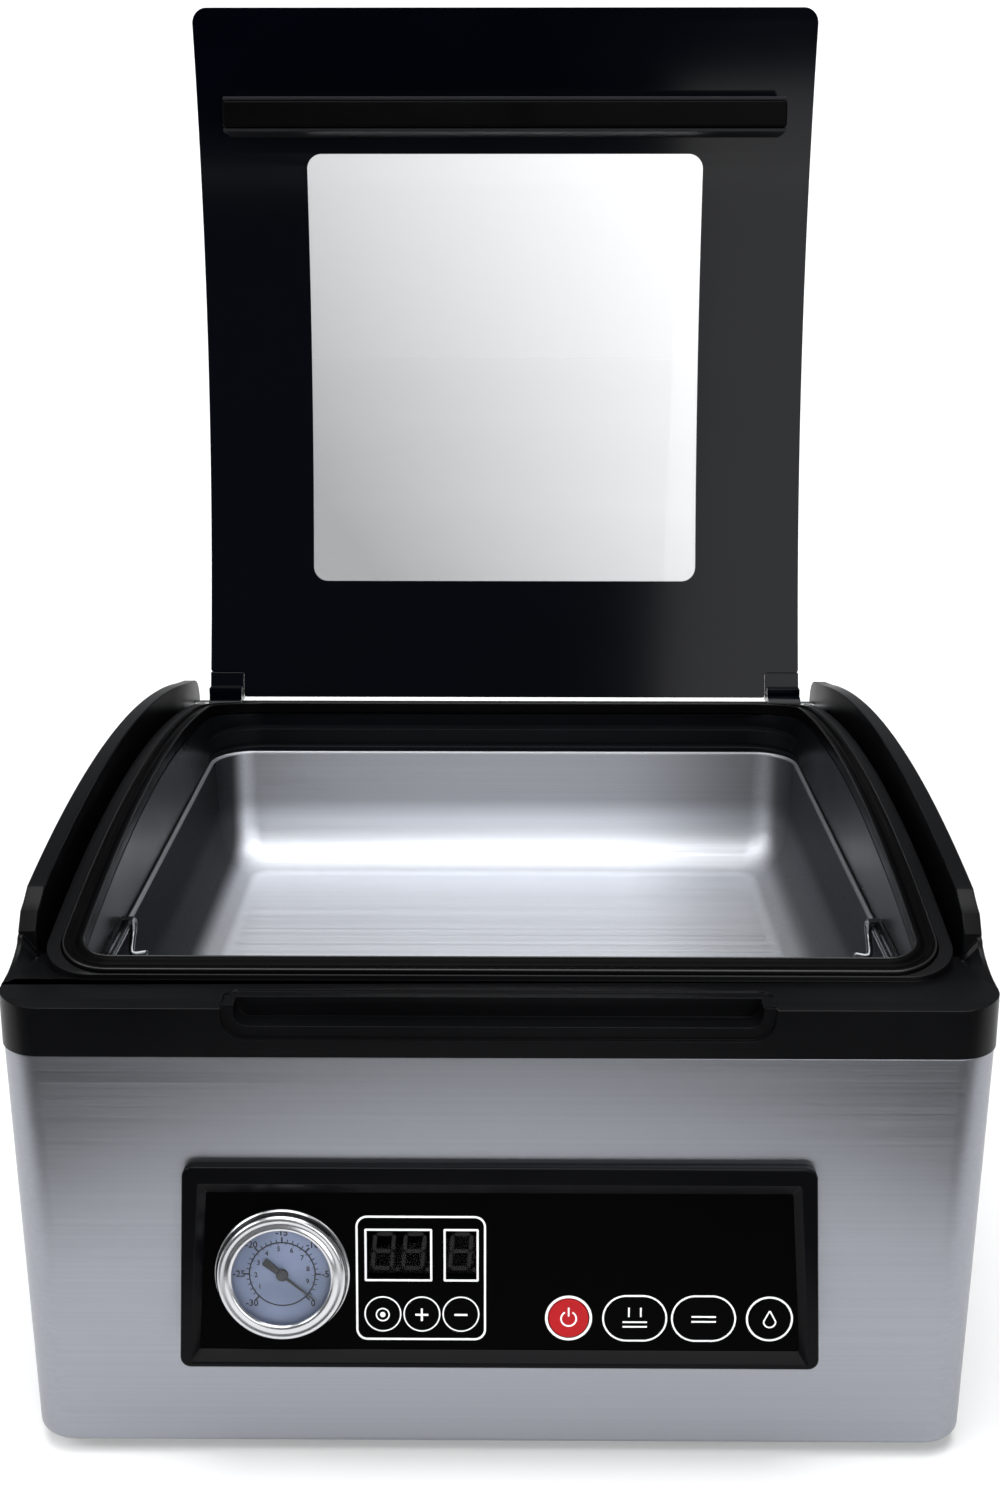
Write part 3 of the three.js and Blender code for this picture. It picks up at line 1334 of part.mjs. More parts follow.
// Transformer: a laminated core round its winding, on a strap foot
function transformer() {
  const low = machineFloor;
  const left = transformerX - transformerWidth / 2;
  const right = transformerX + transformerWidth / 2;
  const front = transformerY - transformerCoreDepth / 2;
  const rear = transformerY + transformerCoreDepth / 2;
  const core = block(left, right, front, rear, low, low + transformerHeight);
  const winding = block(left + transformerWidth / 4, right - transformerWidth / 4,
    transformerY - transformerDepth / 2, transformerY + transformerDepth / 2,
    low + transformerHeight / 5, low + transformerHeight * 4 / 5);
  const foot = block(left - transformerFootFlange, right + transformerFootFlange, front, rear,
    low, low + transformerFootThickness);
  return join(core, winding, foot);
}

piece('transformer', transformer(), copperWrap);

// Solenoid valve with a port up to the chamber and one back to the pump
const valveTop = machineFloor + valveHeight;
const portTopZ = valveTop + valvePortLength;
const valvePortX = valveX + valveWidth / 4;
const coilX = valvePortX - hoseRadius - valveCoilGap - valveCoilRadius;

function solenoidValve() {
  const body = block(valveX - valveWidth / 2, valveX + valveWidth / 2,
    valveY - valveDepth / 2, valveY + valveDepth / 2, machineFloor, valveTop);
  const coil = turned(disc(valveCoilRadius, valveTop - clearance, valveTop + valveCoilHeight), 'z',
    coilX, valveY, 0);
  const upPort = turned(
    disc(valvePortRadius, valveTop - clearance, portTopZ), 'z', valvePortX, valveY, 0, smallSteps);
  const backPort = turned(disc(valvePortRadius, valveY, valveY + valveDepth / 2 + valvePortLength), 'y',
    valvePortX, 0, machineFloor + valveHeight / 2, smallSteps);
  return join(body, coil, upPort, backPort);
}

piece('solenoid_valve', solenoidValve(), brushedSteel);

const hoseTop = panUnderside - clearance;
const hoseLevel = hoseTop - hoseDrop;
piece('chamber_hose', tube([
  new THREE.Vector3(portX, portY, hoseTop),
  new THREE.Vector3(portX, portY, hoseTop - hoseDrop / 3),
  new THREE.Vector3(portX - hoseDrop, portY, hoseLevel),
  new THREE.Vector3((portX + valvePortX) / 2, (portY + valveY) / 2, hoseLevel),
  new THREE.Vector3(valvePortX + hoseDrop, valveY, hoseLevel),
  new THREE.Vector3(valvePortX, valveY, hoseLevel - hoseDrop),
  new THREE.Vector3(valvePortX, valveY, portTopZ + hoseDrop / 2),
  new THREE.Vector3(valvePortX, valveY, portTopZ + clearance),
], hoseRadius, hoseBoreRadius, hoseSides, hoseSteps), hoseClear);

const backPortEnd = valveY + valveDepth / 2 + valvePortLength + clearance;
const pumpPortEnd = motorY - pumpHeadWidth / 2 - pumpPortLength - clearance;
const backPortZ = machineFloor + valveHeight / 2;
piece('pump_hose', tube([
  new THREE.Vector3(valvePortX, backPortEnd, backPortZ),
  new THREE.Vector3(valvePortX, backPortEnd + hoseRadius, backPortZ),
  new THREE.Vector3((valvePortX + pumpMiddle) / 2, (backPortEnd + pumpPortEnd) / 2, (backPortZ + motorZ) / 2),
  new THREE.Vector3(pumpMiddle, pumpPortEnd - hoseRadius, motorZ),
  new THREE.Vector3(pumpMiddle, pumpPortEnd, motorZ),
], hoseRadius, hoseBoreRadius, hoseSides, hoseSteps), hoseClear);

// Cooling fan behind the rear panel's vents
const fanBack = rearPanelInner - clearance;
const fanFront = fanBack - fanDepth;

function fanFrame() {
  const half = fanSize / 2;
  const outline = roundRect(fanX - half, fanX + half, fanZ - half, fanZ + half, fanSpokeWidth);
  const frame = cut(
    prism(outline, 'y', fanFront, fanBack),
    prism(circle(fanX, fanZ, fanBoreRadius), 'y', fanFront - overrun, fanBack + overrun));
  const spokes = [0, 1].map((turn) => {
    const bar = new THREE.BoxGeometry(fanBoreRadius * 2 + fanSpokeWidth, fanSpokeThickness, fanSpokeWidth);
    bar.rotateY(Math.PI / 4 + turn * Math.PI / 2);
    bar.translate(fanX, fanFront + fanSpokeThickness / 2, fanZ);
    return bar;
  });
  const seat = turned(disc(fanHubRadius, fanFront, fanFront + fanSpokeThickness), 'y', fanX, 0, fanZ);
  const socket = prism(circle(fanX, fanZ, fanAxleRadius + clearance, smallSteps), 'y',
    fanFront + fanSpokeThickness / 2, fanBack);
  return cut(join(frame, ...spokes, seat), socket);
}

piece('fan_frame', fanFrame(), satinBlack);

function fanRotor() {
  const start = fanFront + fanSpokeThickness + clearance * 2;
  const end = fanBack - clearance * 4;
  const hub = turned(disc(fanHubRadius, start, end), 'y', fanX, 0, fanZ);
  const axleEnd = fanFront + fanSpokeThickness / 2 + clearance;
  const axle = turned(disc(fanAxleRadius, axleEnd, start + clearance), 'y', fanX, 0, fanZ, smallSteps);
  const blades = Array.from({ length: fanBladeCount }, (_, i) => {
    const reach = fanBladeRadius - fanHubRadius / 2;
    const blade = new THREE.BoxGeometry(reach, end - start, fanBladeThickness);
    blade.rotateX(THREE.MathUtils.degToRad(fanBladeAngle));
    blade.translate(fanHubRadius / 2 + reach / 2, (start + end) / 2, 0);
    blade.rotateY(Math.PI * 2 * i / fanBladeCount);
    blade.translate(fanX, 0, fanZ);
    return blade;
  });
  const swept = prism(circle(fanX, fanZ, fanBladeRadius), 'y', start, end);
  return common(join(hub, ...blades), swept).add(solid(axle));
}

piece('fan_rotor', fanRotor(), satinBlack);

// Mains inlet and rocker switch in the rear panel
function powerInlet() {
  const left = inletX - inletWidth / 2;
  const right = inletX + inletWidth / 2;
  const low = inletZ - inletHeight / 2;
  const high = inletZ + inletHeight / 2;
  const flangeFace = rearPanelOuter + clearance + inletFlangeThickness;
  const body = block(left, right, flangeFace - inletDepth, flangeFace, low, high);
  const flange = block(left - inletFlange, right + inletFlange, rearPanelOuter + clearance, flangeFace,
    low - inletFlange, high + inletFlange);
  const socketEnd = flangeFace - inletSocketDepth;
  const socket = block(left + inletWall, right - inletWall, socketEnd, flangeFace + overrun,
    low + inletWall, high - inletWall);
  const pins = [-1, 0, 1].map((place) => {
    const x = inletX + place * inletPinSpacing;
    return block(x - inletPinWidth / 2, x + inletPinWidth / 2,
      socketEnd - clearance, socketEnd + inletPinLength,
      inletZ - inletPinHeight / 2, inletZ + inletPinHeight / 2);
  });
  return join(cut(join(body, flange), socket), ...pins);
}

piece('power_inlet', powerInlet(), satinBlack);

const switchFace = rearPanelOuter + clearance + inletFlangeThickness;

function switchFrame() {
  const box = (grow, from, to) => block(
    switchX - switchWidth / 2 - grow, switchX + switchWidth / 2 + grow, from, to,
    switchZ - switchHeight / 2 - grow, switchZ + switchHeight / 2 + grow);
  const body = box(0, switchFace - switchDepth, switchFace);
  const flange = box(switchFlange, rearPanelOuter + clearance, switchFace);
  return cut(join(body, flange), box(-switchWall, switchFace - switchDepth + switchWall, switchFace + overrun));
}

piece('switch_frame', switchFrame(), satinBlack);

// Rocker, tilted about a pivot inside its frame
const rocker = new THREE.Group();
rocker.position.set(switchX, switchFace - rockerPivotDepth, switchZ);
rocker.rotation.x = -THREE.MathUtils.degToRad(rockerTiltAngle);
machine.add(rocker);

function rockerShape() {
  const half = switchHeight / 2 - switchWall - clearance * 4;
  const width = switchWidth / 2 - switchWall - clearance;
  const inner = -(rockerPivotDepth + switchDepth / 2 - switchWall) / 2;
  const shoulder = rockerPivotDepth / 2;
  const outer = rockerPivotDepth + rockerProud;
  const profile = [
    [inner, -half / 2], [inner, half / 2], [shoulder, half], [outer, half],
    [outer - rockerProud / 2, 0], [outer, -half], [shoulder, -half],
  ].map(([y, z]) => new THREE.Vector2(y, z)).reverse();
  return prism(profile, 'x', -width, width);
}

piece('power_switch', rockerShape(), keyRed, rocker);

// The part's origin is under the middle of everything, at table height
const bounds = new THREE.Box3().setFromObject(machine, true);
machine.position.y = -(bounds.min.y + bounds.max.y) / 2;
machine.position.x = -(bounds.min.x + bounds.max.x) / 2;

const part = new THREE.Group();
part.add(machine);

export default part;
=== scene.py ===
import math

import bmesh
import bpy
from mathutils import Matrix, Vector


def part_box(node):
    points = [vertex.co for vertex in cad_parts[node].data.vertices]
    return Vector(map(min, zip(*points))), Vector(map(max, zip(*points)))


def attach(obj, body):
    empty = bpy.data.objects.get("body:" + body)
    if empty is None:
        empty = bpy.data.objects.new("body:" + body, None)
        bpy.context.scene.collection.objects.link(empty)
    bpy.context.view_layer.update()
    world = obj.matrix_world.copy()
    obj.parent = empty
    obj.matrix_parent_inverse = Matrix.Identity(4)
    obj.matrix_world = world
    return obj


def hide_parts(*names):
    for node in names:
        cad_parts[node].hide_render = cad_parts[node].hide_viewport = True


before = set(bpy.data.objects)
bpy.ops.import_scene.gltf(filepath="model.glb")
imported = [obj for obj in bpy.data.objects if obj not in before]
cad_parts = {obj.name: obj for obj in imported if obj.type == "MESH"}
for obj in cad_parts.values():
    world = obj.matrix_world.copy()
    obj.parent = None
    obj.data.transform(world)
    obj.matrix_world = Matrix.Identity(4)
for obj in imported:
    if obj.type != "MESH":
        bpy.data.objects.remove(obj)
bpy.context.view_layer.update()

# Millimetres of the machine: x to the right, y back from the front of the top frame, z from the table
MM = 0.001
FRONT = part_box("top_frame")[0].y / MM

BODY_HALF = 182.5
BODY_DEPTH = 420.0
LEDGE = 188.0
FRAME_LOW = 168.0
SHELL_TOP = 167.7
SHELL_LOW = 6.0
DECK = 183.5
HINGE = (398.4, 185.2)
ARC_Y = 206.125
ARC_Z = -530.73
ARC_R = 745.25
LID_FRONT = 18.25
LID_REAR = 394.0
LID_HALF = 168.0
HINGE_WIDTH = 18.6
LID_OPEN = math.radians(94.6)
PANEL_X = 0.5
PANEL_TOP = 125.8
PANEL_OUT = 3.3
PANEL_TILT = math.radians(-8)
BEZEL_HALF = 115.9
BEZEL_HEIGHT = 77.2
SIDES = ((-1, "left"), (1, "right"))
BAR_Y = 75.0
GASKET_HALF = 157.0
GASKET_FRONT = 32.2
GASKET_REAR = 364.0
PAN_EDGE = 173.2
PAN_FLOOR = 112.2


def arc(radius, y):
    return ARC_Z + math.sqrt(radius ** 2 - (y - ARC_Y) ** 2)


# Outlines
def arc_points(cx, cy, radius, start, end, steps):
    return [(cx + radius * math.cos(math.radians(start + (end - start) * i / steps)),
             cy + radius * math.sin(math.radians(start + (end - start) * i / steps)))
            for i in range(steps + 1)]


def circle(cx, cy, radius, steps=64):
    return arc_points(cx, cy, radius, 0, 360, steps)[:-1]


def span(side, inner, outer):
    """The x range between two distances from the middle, on one side."""
    return sorted((side * inner, side * outer))


def rect(x0, x1, y0, y1):
    return [(x0, y0), (x1, y0), (x1, y1), (x0, y1)]


def rounded(x0, x1, y0, y1, low, high=None, steps=10, sides=1):
    """A rounded rectangle; its upright sides have extra points where sides is more than 1."""
    high = low if high is None else high
    points = arc_points(x0 + low, y0 + low, low, 180, 270, steps)
    points += arc_points(x1 - low, y0 + low, low, 270, 360, steps)
    up = [(x1, y0 + low + (y1 - high - y0 - low) * i / sides) for i in range(1, sides)]
    points += up + arc_points(x1 - high, y1 - high, high, 0, 90, steps)
    points += arc_points(x0 + high, y1 - high, high, 90, 180, steps)
    points += [(x0, y) for _, y in reversed(up)]
    return points


def bezier(start, control, end, steps=10):
    out = []
    for i in range(steps + 1):
        t = i / steps
        out.append(tuple((1 - t) ** 2 * a + 2 * t * (1 - t) * b + t * t * c
                         for a, b, c in zip(start, control, end)))
    return out


# Meshes as vertices and faces
def skin(loops, ring=False):
    count = len(loops[0])
    rows = len(loops)
    verts = [tuple(point) for loop in loops for point in loop]
    faces = []
    for row in range(rows if ring else rows - 1):
        a = row * count
        b = (row + 1) % rows * count
        for i in range(count):
            j = (i + 1) % count
            faces.append((a + i, a + j, b + j, b + i))
    if not ring:
        faces.append(tuple(reversed(range(count))))
        faces.append(tuple(range((rows - 1) * count, rows * count)))
    return verts, faces


def prism(points, axis, low, high):
    place = {"x": lambda p, d: (d, p[0], p[1]),
             "y": lambda p, d: (p[0], d, p[1]),
             "z": lambda p, d: (p[0], p[1], d)}[axis]
    return skin([[place(p, low) for p in points], [place(p, high) for p in points]])


def block(x0, x1, y0, y1, z0, z1):
    return prism(rect(x0, x1, y0, y1), "z", z0, z1)


def lathe(profile, axis="z", at=(0, 0, 0), steps=64, ring=False):
    """A profile of (radius, height) turned about an axis; a radius of 0 closes an end."""
    turn = {"z": lambda r, h, t: (r * math.cos(t), r * math.sin(t), h),
            "y": lambda r, h, t: (r * math.cos(t), h, r * math.sin(t)),
            "x": lambda r, h, t: (h, r * math.cos(t), r * math.sin(t))}[axis]
    verts, faces, rows = [], [], []
    for radius, height in profile:
        if radius < 1e-6:
            rows.append([len(verts)])
            verts.append(tuple(a + b for a, b in zip(turn(0, height, 0), at)))
            continue
        rows.append(list(range(len(verts), len(verts) + steps)))
        for i in range(steps):
            point = turn(radius, height, 2 * math.pi * i / steps)
            verts.append(tuple(a + b for a, b in zip(point, at)))
    pairs = list(zip(rows, rows[1:])) + ([(rows[-1], rows[0])] if ring else [])
    for low, high in pairs:
        for i in range(steps):
            j = (i + 1) % steps
            a = [low[i % len(low)], low[j % len(low)]]
            b = [high[j % len(high)], high[i % len(high)]]
            face = list(dict.fromkeys(a + b))
            if len(face) > 2:
                faces.append(tuple(face))
    return verts, faces


def merged(*meshes):
    verts, faces = [], []
    for more, those in meshes:
        start = len(verts)
        verts += more
        faces += [tuple(i + start for i in face) for face in those]
    return verts, faces


def tube(path, radius):
    """A round tube along points, with hemispherical ends."""
    sides = 16
    points = [Vector(p) for p in path]
    loops = []
    normal = None
    last = len(points) - 1
    for i, point in enumerate(points):
        ahead = points[min(i + 1, last)] - points[max(i - 1, 0)]
        tangent = ahead.normalized()
        if normal is None:
            normal = tangent.orthogonal().normalized()
        normal = (normal - tangent * normal.dot(tangent)).normalized()
        side = tangent.cross(normal)
        ring = [(math.cos(2 * math.pi * k / sides), math.sin(2 * math.pi * k / sides))
                for k in range(sides)]
        steps = []
        if i == 0:
            steps = [(-math.cos(a), math.sin(a)) for a in (0.3, 0.7, 1.15)]
        steps.append((0.0, 1.0))
        if i == last:
            steps += [(math.cos(a), math.sin(a)) for a in (1.15, 0.7, 0.3)]
        for back, size in steps:
            loops.append([tuple(point + tangent * back * radius
                                + (normal * c + side * s) * radius * size) for c, s in ring])
    return skin(loops)


def smooth_path(points):
    """A Catmull-Rom curve through points."""
    steps = 8
    pts = [Vector(p) for p in points]
    ext = [pts[0] * 2 - pts[1]] + pts + [pts[-1] * 2 - pts[-2]]
    out = []
    for i in range(1, len(ext) - 2):
        p0, p1, p2, p3 = ext[i - 1:i + 3]
        for k in range(steps):
            t = k / steps
            out.append(0.5 * ((2 * p1) + (p2 - p0) * t + (2 * p0 - 5 * p1 + 4 * p2 - p3) * t * t
                              + (3 * p1 - p0 - 3 * p2 + p3) * t ** 3))
    out.append(pts[-1])
    return out


# Objects
def to_frame(point):
    return (point[0] * MM, (point[1] + FRONT) * MM, point[2] * MM)


def new_object(name, data):
    obj = bpy.data.objects.new(name, data)
    bpy.context.scene.collection.objects.link(obj)
    return obj


def make(name, shape, matrix=None):
    """An object from vertices and faces in machine millimetres, or in a group's own."""
    verts, faces = shape
    if matrix is not None:
        verts = [tuple(matrix @ Vector(v)) for v in verts]
    mesh = bpy.data.meshes.new(name)
    mesh.from_pydata([to_frame(v) for v in verts], [], faces)
    mesh.update()
    obj = new_object(name, mesh)
    clean(obj)
    return obj


def edit(obj, change):
    bm = bmesh.new()
    bm.from_mesh(obj.data)
    change(bm)
    bm.to_mesh(obj.data)
    bm.free()
    obj.data.update()


def clean(obj):
    near = 1e-6

    def change(bm):
        bmesh.ops.remove_doubles(bm, verts=bm.verts, dist=near)
        bmesh.ops.dissolve_degenerate(bm, dist=near, edges=bm.edges)
        bmesh.ops.recalc_face_normals(bm, faces=bm.faces)
    edit(obj, change)


def apply_modifiers(obj):
    bpy.context.view_layer.update()
    graph = bpy.context.evaluated_depsgraph_get()
    mesh = bpy.data.meshes.new_from_object(obj.evaluated_get(graph))
    old = obj.data
    obj.modifiers.clear()
    obj.data = mesh
    bpy.data.meshes.remove(old)


def drop(obj):
    mesh = obj.data
    bpy.data.objects.remove(obj)
    bpy.data.meshes.remove(mesh)


def combine(base, shapes, operation):
    """Cuts, joins or intersects with shapes, or with other objects, which are used up."""
    for shape in shapes:
        tool = shape if isinstance(shape, bpy.types.Object) else make("tool", shape)
        modifier = base.modifiers.new("combine", "BOOLEAN")
        modifier.operation = operation
        modifier.solver = "EXACT"
        modifier.object = tool
        apply_modifiers(base)
        drop(tool)
        clean(base)
    return base


def cut(base, *shapes):
    return combine(base, shapes, "DIFFERENCE")


def join(base, *shapes):
    return combine(base, shapes, "UNION")


def common(base, *shapes):
    return combine(base, shapes, "INTERSECT")


def bevel(obj, width, steps=2, angle=30, where=None, clamp=True):
    """Rounds the edges that are sharper than an angle, all of them or those in a place."""
    limit = math.radians(angle)

    def change(bm):
        edges = [e for e in bm.edges if len(e.link_faces) == 2 and e.calc_face_angle(0) > limit]
        if where:
            edges = [e for e in edges if where(
                *[((a + b) / 2) / MM - offset for a, b, offset in zip(
                    e.verts[0].co, e.verts[1].co, (0, FRONT, 0))])]
        bmesh.ops.bevel(bm, geom=edges, offset=width * MM, offset_type="OFFSET", segments=steps,
                        profile=0.5, affect="EDGES", clamp_overlap=clamp)
    edit(obj, change)
    clean(obj)


def bend(obj, places):
    """Lifts a flat sheet on to the lid's arc; its z is a radius less the lid's, and it folds at places."""
    def change(bm):
        for place in places:
            bmesh.ops.bisect_plane(bm, geom=bm.verts[:] + bm.edges[:] + bm.faces[:], dist=1e-7,
                                   plane_co=(0, (place + FRONT) * MM, 0), plane_no=(0, 1, 0))
        for vert in bm.verts:
            vert.co.z = arc(ARC_R + vert.co.z / MM, vert.co.y / MM - FRONT) * MM
    edit(obj, change)


def shade(obj, angle):
    limit = math.radians(angle)

    def change(bm):
        for face in bm.faces:
            face.smooth = True
        for edge in bm.edges:
            edge.smooth = len(edge.link_faces) == 2 and edge.calc_face_angle(0) < limit
    edit(obj, change)
    modifier = obj.modifiers.new("normals", "WEIGHTED_NORMAL")
    modifier.keep_sharp = True
    apply_modifiers(obj)


def piece(obj, material, body="body", nodes=(), angle=32):
    """Finishes an object: its shading, material, body, the nodes it stands for."""
    shade(obj, angle)
    obj.data.materials.clear()
    obj.data.materials.append(material)
    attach(obj, body)
    if nodes:
        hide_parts(*nodes)


# Materials
NOISE_LOW = 0.3
NOISE_HIGH = 0.7


class Nodes:
    """A material's node tree, with short ways to add the nodes used here."""

    SOCKETS = {"color": "Base Color", "metal": "Metallic", "rough": "Roughness", "ior": "IOR",
               "gloss": "Specular IOR Level", "tint": "Specular Tint", "clear": "Transmission Weight",
               "aniso": "Anisotropic", "glow": "Emission Strength", "glow_color": "Emission Color",
               "normal": "Normal"}

    def __init__(self, name):
        self.material = bpy.data.materials.new(name)
        self.material.use_nodes = True
        self.tree = self.material.node_tree
        self.tree.nodes.clear()
        self.shader = self.add("BsdfPrincipled")
        self.add("OutputMaterial", {"Surface": self.shader.outputs[0]})
        self.place = self.add("TexCoord").outputs["Object"]

    def feed(self, socket, value):
        """Links an input to another node's output, or else sets it."""
        if isinstance(value, bpy.types.NodeSocket):
            self.tree.links.new(value, socket)
        else:
            socket.default_value = value

    def add(self, kind, inputs=(), **settings):
        node = self.tree.nodes.new("ShaderNode" + kind)
        for key, value in settings.items():
            setattr(node, key, value)
        for key, value in dict(inputs).items():
            self.feed(node.inputs[key], value)
        return node

    def surface(self, **values):
        for key, value in values.items():
            self.feed(self.shader.inputs[self.SOCKETS[key]],
                      (*value, 1.0) if isinstance(value, tuple) else value)

    def split(self):
        return self.add("SeparateXYZ", {0: self.place}).outputs

    def math(self, operation, *values):
        return self.add("Math", dict(enumerate(values)), operation=operation).outputs[0]

    def noise(self, scale, detail=3.0, rough=0.55, stretch=None):
        vector = self.place
        if stretch is not None:
            vector = self.add("Mapping", {"Vector": vector, "Scale": stretch}).outputs[0]
        return self.add("TexNoise", {"Vector": vector, "Scale": scale, "Detail": detail,
                                     "Roughness": rough}).outputs["Fac"]

    def ramp(self, value, low, high, start=NOISE_LOW, end=NOISE_HIGH, kind="LINEAR"):
        return self.add("MapRange", {"Value": value, "From Min": start, "From Max": end, "To Min": low,
                                     "To Max": high}, interpolation_type=kind).outputs["Result"]

    def colours(self, value, *stops):
        node = self.add("ValToRGB", {0: value})
        ramp = node.color_ramp
        while len(ramp.elements) < len(stops):
            ramp.elements.new(0.5)
        for element, (place, colour) in zip(ramp.elements, stops):
            element.position = place
            element.color = (*colour, 1.0)
        return node.outputs[0]

    def blend(self, noise, low, high):
        return self.colours(noise, (NOISE_LOW, low), (NOISE_HIGH, high))

    def mottle(self, colour, spread, scale):
        """Gives the surface a colour that drifts a little, and returns the noise behind it."""
        cloud = self.noise(scale)
        self.surface(color=self.blend(cloud, *shades(colour, spread)))
        return cloud

    def bump(self, height, distance):
        bumped = self.add("Bump", {"Height": height, "Distance": distance * MM, "Strength": 1.0})
        self.surface(normal=bumped.outputs[0])


def shades(colour, spread):
    return (tuple(c * (1 - spread) for c in colour), tuple(min(1.0, c * (1 + spread)) for c in colour))


def plastic(name, colour, rough, grain=900.0, depth=0.03, spread=0.12, gloss=0.5):
    """Moulded plastic with a fine grain and a slight unevenness of colour and shine."""
    n = Nodes(name)
    cloud = n.mottle(colour, spread, 14.0)
    n.surface(gloss=gloss, rough=n.ramp(cloud, rough * 0.88, rough * 1.12))
    n.bump(n.noise(grain, 2.0), depth)
    return n.material


def rubber(name, colour, rough):
    n = Nodes(name)
    cloud = n.mottle(colour, 0.2, 30.0)
    n.surface(gloss=0.02, rough=n.ramp(cloud, rough - 0.08, rough + 0.08))
    n.bump(n.noise(1400.0, 2.0), 0.01)
    return n.material


def brushed(name, colour, rough, depth=0.012, spread=0.05, aniso=0.0, grain=2600.0, metallic=1.0,
            painted_light=None):
    """Metal with fine straight grain from left to right; its last argument can change its colour by place,
    as painted shade.
    """
    n = Nodes(name)
    fine = (grain / 600, grain, grain)
    coarse = tuple(v / 4 for v in fine)
    hair = n.noise(1.0, 3.0, 0.6, fine)
    shade_of = n.blend(n.noise(1.0, 4.0, 0.7, coarse), *shades(colour, spread))
    n.surface(metal=metallic, aniso=aniso, color=painted_light(n, shade_of) if painted_light else shade_of,
              rough=n.ramp(hair, rough * 0.82, rough * 1.2))
    n.bump(hair, depth)
    return n.material


def metal(name, colour, rough, cloud_scale=20.0, depth=0.01, spread=0.06):
    n = Nodes(name)
    cloud = n.mottle(colour, spread, cloud_scale)
    n.surface(metal=1.0, rough=n.ramp(cloud, rough * 0.8, rough * 1.2))
    n.bump(n.noise(1500.0, 2.0), depth)
    return n.material


def print_ink(name, colour):
    n = Nodes(name)
    n.surface(gloss=0.3, rough=n.ramp(n.mottle(colour, 0.04, 200.0), 0.45, 0.55))
    return n.material


def pan_painted_shade(n, colour):
    """Painted shade on drawn steel: its walls darker than its floor, the left one most, its rounded foot
    less, its right side too.
    """
    n.surface(tint=(0.3, 0.3, 0.32))
    x, _, z = n.split()
    inside = n.math("MULTIPLY", x, n.math("LESS_THAN", z, (PAN_EDGE - 0.1) * MM))
    for value, start, end, share in ((z, 0.1123, 0.1135, 0.68), (z, 0.117, 0.123, 1.45),
                                     (z, 0.134, 0.149, 0.5), (x, 0.06, 0.13, 0.7),
                                     (inside, -0.140, -0.148, 0.1), (inside, 0.140, 0.149, 0.26)):
        level = n.ramp(value, 1.0, share, start, end, "SMOOTHSTEP")
        colour = n.add("VectorMath", {0: colour, "Scale": level}, operation="SCALE").outputs[0]
    return colour


steel = brushed("brushed_steel_sheet", (0.285, 0.296, 0.325), 0.38, aniso=0.4)
# The pan's colour carries painted shade on its walls, its rounded foot and its right side.
pan_steel = brushed("drawn_pan_steel", (0.74, 0.76, 0.805), 0.54, 0.006, 0.03, 0.0, 1600.0, 0.9,
                    pan_painted_shade)
zinc = metal("zinc_plate", (0.42, 0.43, 0.44), 0.42)
chrome = metal("chrome_plate", (0.56, 0.565, 0.58), 0.24, 12.0, 0.002, 0.02)
aluminium = brushed("milled_aluminium", (0.62, 0.63, 0.65), 0.4, grain=1800.0)
clip_steel = metal("clip_wire_steel", (0.15, 0.155, 0.165), 0.24, 40.0, 0.003)
lip_rubber = plastic("gasket_lip", (0.004, 0.004, 0.0045), 0.3, 900.0, 0.004, gloss=0.35)
nichrome = brushed("nichrome_strip", (0.42, 0.39, 0.35), 0.38)
frame_black = plastic("frame_plastic", (0.0018, 0.0019, 0.0023), 0.32, 900.0, 0.012, gloss=0.1)
collar_black = plastic("collar_plastic", (0.0035, 0.0038, 0.0046), 0.3, 900.0, 0.001, gloss=0.045)
bezel_black = plastic("bezel_plastic", (0.0022, 0.0023, 0.0029), 0.24, 900.0, 0.004, gloss=0.065)
face_black = plastic("panel_film", (0.0006, 0.0006, 0.0007), 0.4, 1100.0, 0.003, gloss=0.015)
key_black = plastic("key_caps", (0.0006, 0.0006, 0.0007), 0.42, 1100.0, 0.005, gloss=0.02)
key_red_plastic = plastic("key_cap_red", (0.36, 0.006, 0.009), 0.4, 1100.0, 0.01, gloss=0.15)
module_black = plastic("display_module", (0.0003, 0.0003, 0.0004), 0.8, 900.0, 0.002, gloss=0.0)
case_black = plastic("case_plastic", (0.012, 0.012, 0.013), 0.5, 600.0, 0.05)
bar_black = plastic("pressure_bar_plastic", (0.006, 0.0062, 0.0075), 0.5, 700.0, 0.02, gloss=0.16)
seal_rubber = rubber("gasket_silicone", (0.0012, 0.0012, 0.0014), 0.36)
foot_rubber = rubber("foot_rubber", (0.02, 0.02, 0.021), 0.8)
lid_black = plastic("lid_border_enamel", (0.0004, 0.0008, 0.0022), 0.1, 400.0, 0.0, gloss=0.12)
board_green = plastic("circuit_board", (0.014, 0.1, 0.036), 0.45, 300.0, 0.05)
cast_grey = metal("cast_metal", (0.19, 0.2, 0.21), 0.55, 60.0, 0.12, 0.15)
winding = brushed("copper_winding", (0.62, 0.27, 0.12), 0.35, depth=0.2, grain=700.0)
hose_soft = plastic("hose_silicone", (0.6, 0.57, 0.48), 0.4, 300.0, 0.03)
white_ink = print_ink("white_print", (0.86, 0.87, 0.88))
black_ink = print_ink("black_print", (0.01, 0.01, 0.012))
needle_black = plastic("needle_enamel", (0.01, 0.01, 0.011), 0.4, 900.0, 0.004)
screw_steel = metal("screw_steel", (0.5, 0.5, 0.51), 0.3)


